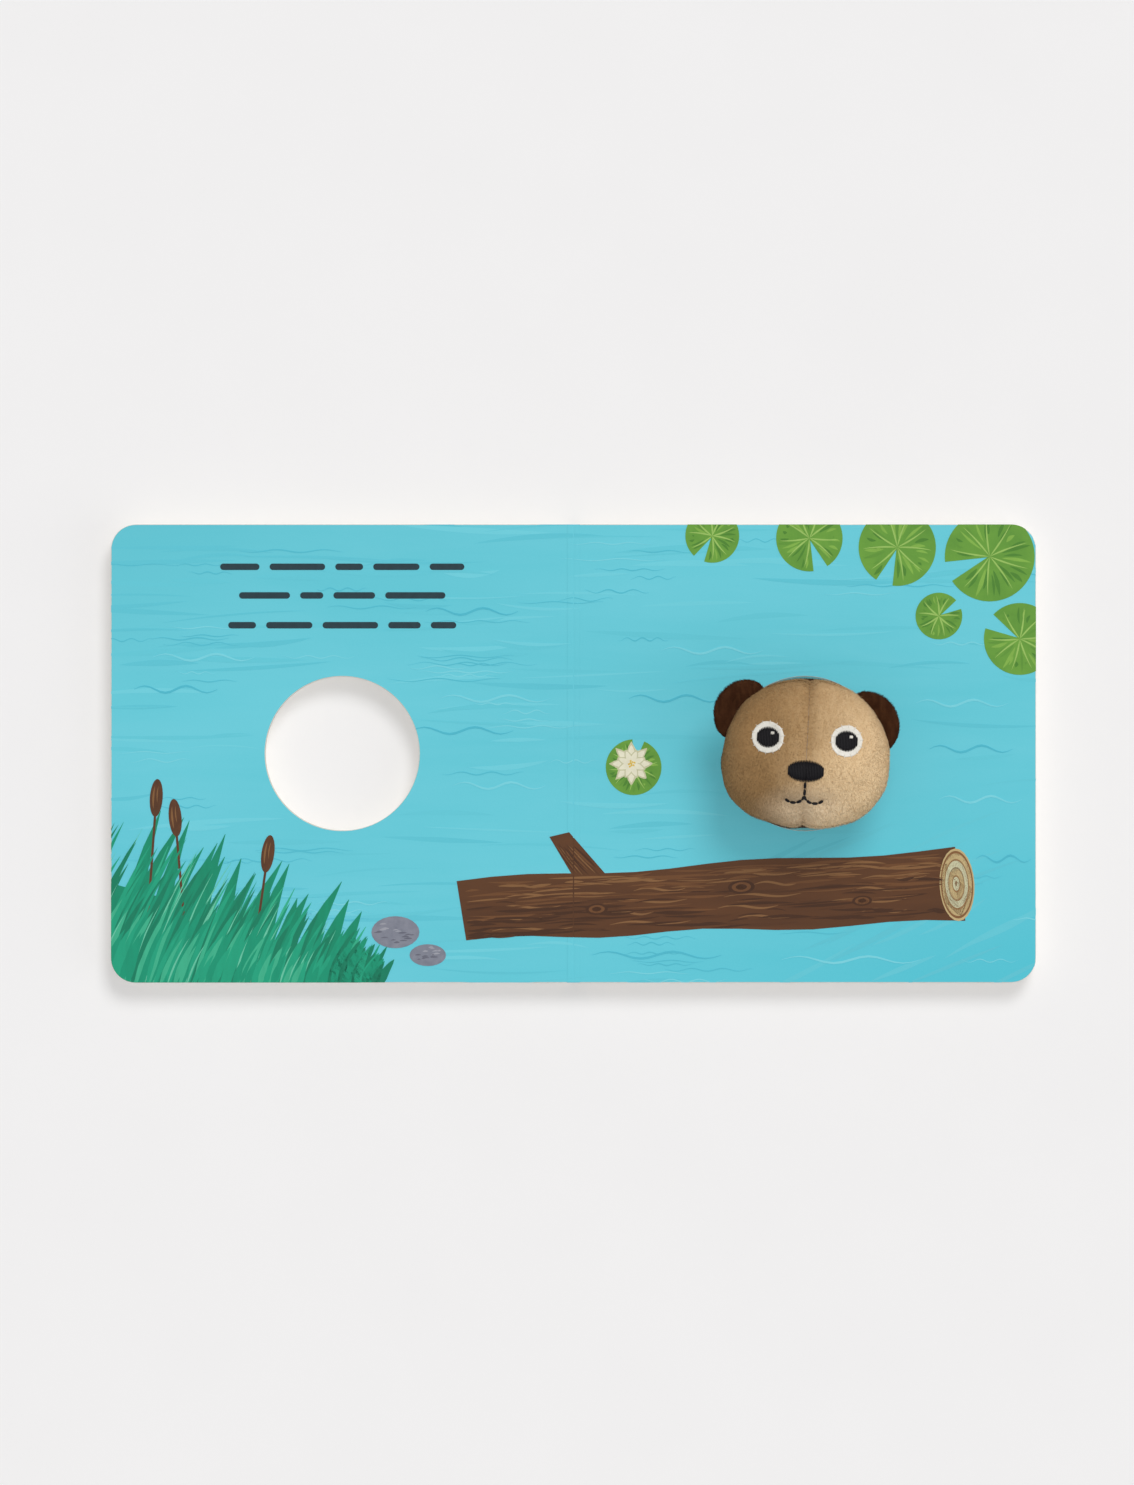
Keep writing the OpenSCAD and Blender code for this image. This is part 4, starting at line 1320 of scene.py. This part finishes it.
def paint_pads():
    """Veins and brush marks on the lily pads, and the petals of the lily."""
    rng = random.Random(9)
    paint = Paint("pad_strokes", PAD_TONES, "pad_green", INK_Z)
    for u, v, size, notch in PADS:
        x, y = at(u, v)
        r = PAD_R * size
        for k in range(26):
            w = math.radians(notch + 24 + 312 * (k + rng.uniform(-0.3, 0.3)) / 25)
            near, far = rng.uniform(0.2, 0.7), rng.uniform(0.72, 0.96)
            paint.stroke((x + near * r * math.cos(w), y + near * r * math.sin(w)),
                         (x + far * r * math.cos(w), y + far * r * math.sin(w)), 0.2,
                         rng.uniform(0.4, 0.9) * size + 0.2, rng.choice((0, 1, 0, 2)))
        for k in range(9):
            w = math.radians(notch + 30 + 300 * k / 8)
            paint.stroke((x, y), (x + 0.9 * r * math.cos(w), y + 0.9 * r * math.sin(w)),
                         0.25 * (-1) ** k, 0.42, 3, 0.3)
    paint.make()
    lily = Paint("lily_petals", LILY_TONES, "cream", INK_Z + 0.065)
    x, y = at(0.125, -0.045)
    for reach, width, turn, ink in ((0.47, 0.22, 0, 1), (0.42, 0.17, 0, 0), (0.34, 0.18, 22.5, 1),
                                     (0.30, 0.13, 22.5, 0)):
        for k in range(8):
            w = math.radians(turn + 45 * k)
            lily.stroke((x, y), (x + PAD_R * reach * math.cos(w), y + PAD_R * reach * math.sin(w)),
                        0, PAD_R * width, ink, 0.5)
    for k in range(9):
        w = 2.4 * k
        lily.oval((x + 0.28 * math.sqrt(k) * math.cos(w), y + 0.28 * math.sqrt(k) * math.sin(w)),
                  0.24, 0.24, 2, 0, 12)
    lily.make()


def paint_stones():
    """Short light marks on the upper half of each stone and dark ones below."""
    rng = random.Random(2)
    paint = Paint("stone_strokes", STONE_TONES, "stone_grey", INK_Z)
    for u, v, rx, ry in ((-0.385, -0.78, 0.33, 0.22), (-0.315, -0.88, 0.25, 0.15)):
        x, y = at(u, v)
        rx, ry = rx * LOG_W, ry * LOG_W
        for k in range(16):
            w, q = rng.uniform(0, 6.28), math.sqrt(rng.random()) * 0.75
            a, b = x + rx * q * math.cos(w), y + ry * q * math.sin(w)
            reach = rx * rng.uniform(0.08, 0.22)
            paint.stroke((a - reach, b), (a + reach, b + 0.1), 0.1, rng.uniform(0.25, 0.5),
                         1 if b > y else 0)
    paint.make()


def dress_print():
    """The printed fields that come from the frame get their ink."""
    for name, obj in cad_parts.items():
        for side in ("left_", "right_"):
            kind = name[len(side):]
            if name.startswith(side) and kind in PRINTS:
                obj.data.materials.clear()
                obj.data.materials.append(PRINTS[kind])


# Stage

def stage():
    """Floor, world, lamps and camera."""
    mesh = bpy.data.meshes.new("floor")
    half = 6.0
    mesh.from_pydata([(-half, -half, 0), (half, -half, 0), (half, half, 0), (-half, half, 0)], [],
                     [[0, 1, 2, 3]])
    mesh.materials.append(floor_material("floor_paper"))
    floor = bpy.data.objects.new("floor", mesh)
    bpy.context.scene.collection.objects.link(floor)
    floor.location.z = -0.00005

    world = bpy.data.worlds.new("studio")
    world.use_nodes = True
    world.node_tree.nodes["Background"].inputs["Color"].default_value = (1, 1, 1, 1)
    world.node_tree.nodes["Background"].inputs["Strength"].default_value = AMBIENT
    bpy.context.scene.world = world

    for name, strength, azimuth, elevation, spread, shadow in SUNS:
        light = bpy.data.lights.new(name, "SUN")
        light.energy = strength
        light.angle = math.radians(spread)
        light.use_shadow = shadow
        obj = bpy.data.objects.new(name, light)
        bpy.context.scene.collection.objects.link(obj)
        a, e = math.radians(azimuth), math.radians(elevation)
        towards = Vector((math.cos(e) * math.cos(a), math.cos(e) * math.sin(a), math.sin(e)))
        obj.rotation_euler = towards.to_track_quat("Z", "Y").to_euler()

    camera = bpy.data.cameras.new("camera")
    camera.type = "PERSP"
    camera.sensor_fit = "VERTICAL"
    camera.sensor_height = SENSOR_MM
    camera.lens = LENS_MM
    camera.clip_end = 20
    obj = bpy.data.objects.new("camera", camera)
    bpy.context.scene.collection.objects.link(obj)
    obj.location = (AIM_X * MM, AIM_Y * MM, (STACK_T + CAMERA_UP) * MM)
    bpy.context.scene.camera = obj
    bpy.context.scene.view_settings.view_transform = "Standard"


# Light: name, strength, direction round the book and height in degrees, softness, shadow.
# The photo's light is flat: shadows are faint, and only below and left of the book
AMBIENT = 0.28
SUNS = [("key_sun", 1.02, 68, 56, 25, True), ("fill_sun", 1.17, 90, 88, 50, False),
        ("side_sun", 0.34, -18, 27, 50, True)]

# Camera: the photo's frame is 1485 pixels high, the spread is 925 pixels wide in it and its
# middle lies at PHOTO_MID
PHOTO_W, PHOTO_H = 1134, 1485
PHOTO_MID = (573.5, 753.5)
SPREAD_PX = 925
PIXEL_MM = 2 * PAGE_W / SPREAD_PX
SENSOR_MM = 36.0
LENS_MM = 400.0
CAMERA_UP = PIXEL_MM * PHOTO_H * LENS_MM / SENSOR_MM
AIM_X = (PHOTO_W / 2 - PHOTO_MID[0]) * PIXEL_MM
AIM_Y = (PHOTO_MID[1] - PHOTO_H / 2) * PIXEL_MM


covers_and_pages()
gutter_fold()
spine_crease()
dress_print()
paint_water()
paint_reeds()
paint_log()
paint_pads()
paint_stones()
face = Face()
face.panel("face_panel_left", -1)
face.panel("face_panel_right", 1)
head_back()
stuffing()
ear("ear_lobe_left", -1)
ear("ear_lobe_right", 1)
eye("eye_left_sewn", -1)
eye("eye_right_sewn", 1)
satin("nose_stitches", "nose", (0, NOSE_Y), NOSE_W / 2, nose_reach)
mouth()
sleeve()
pocket()
stage()
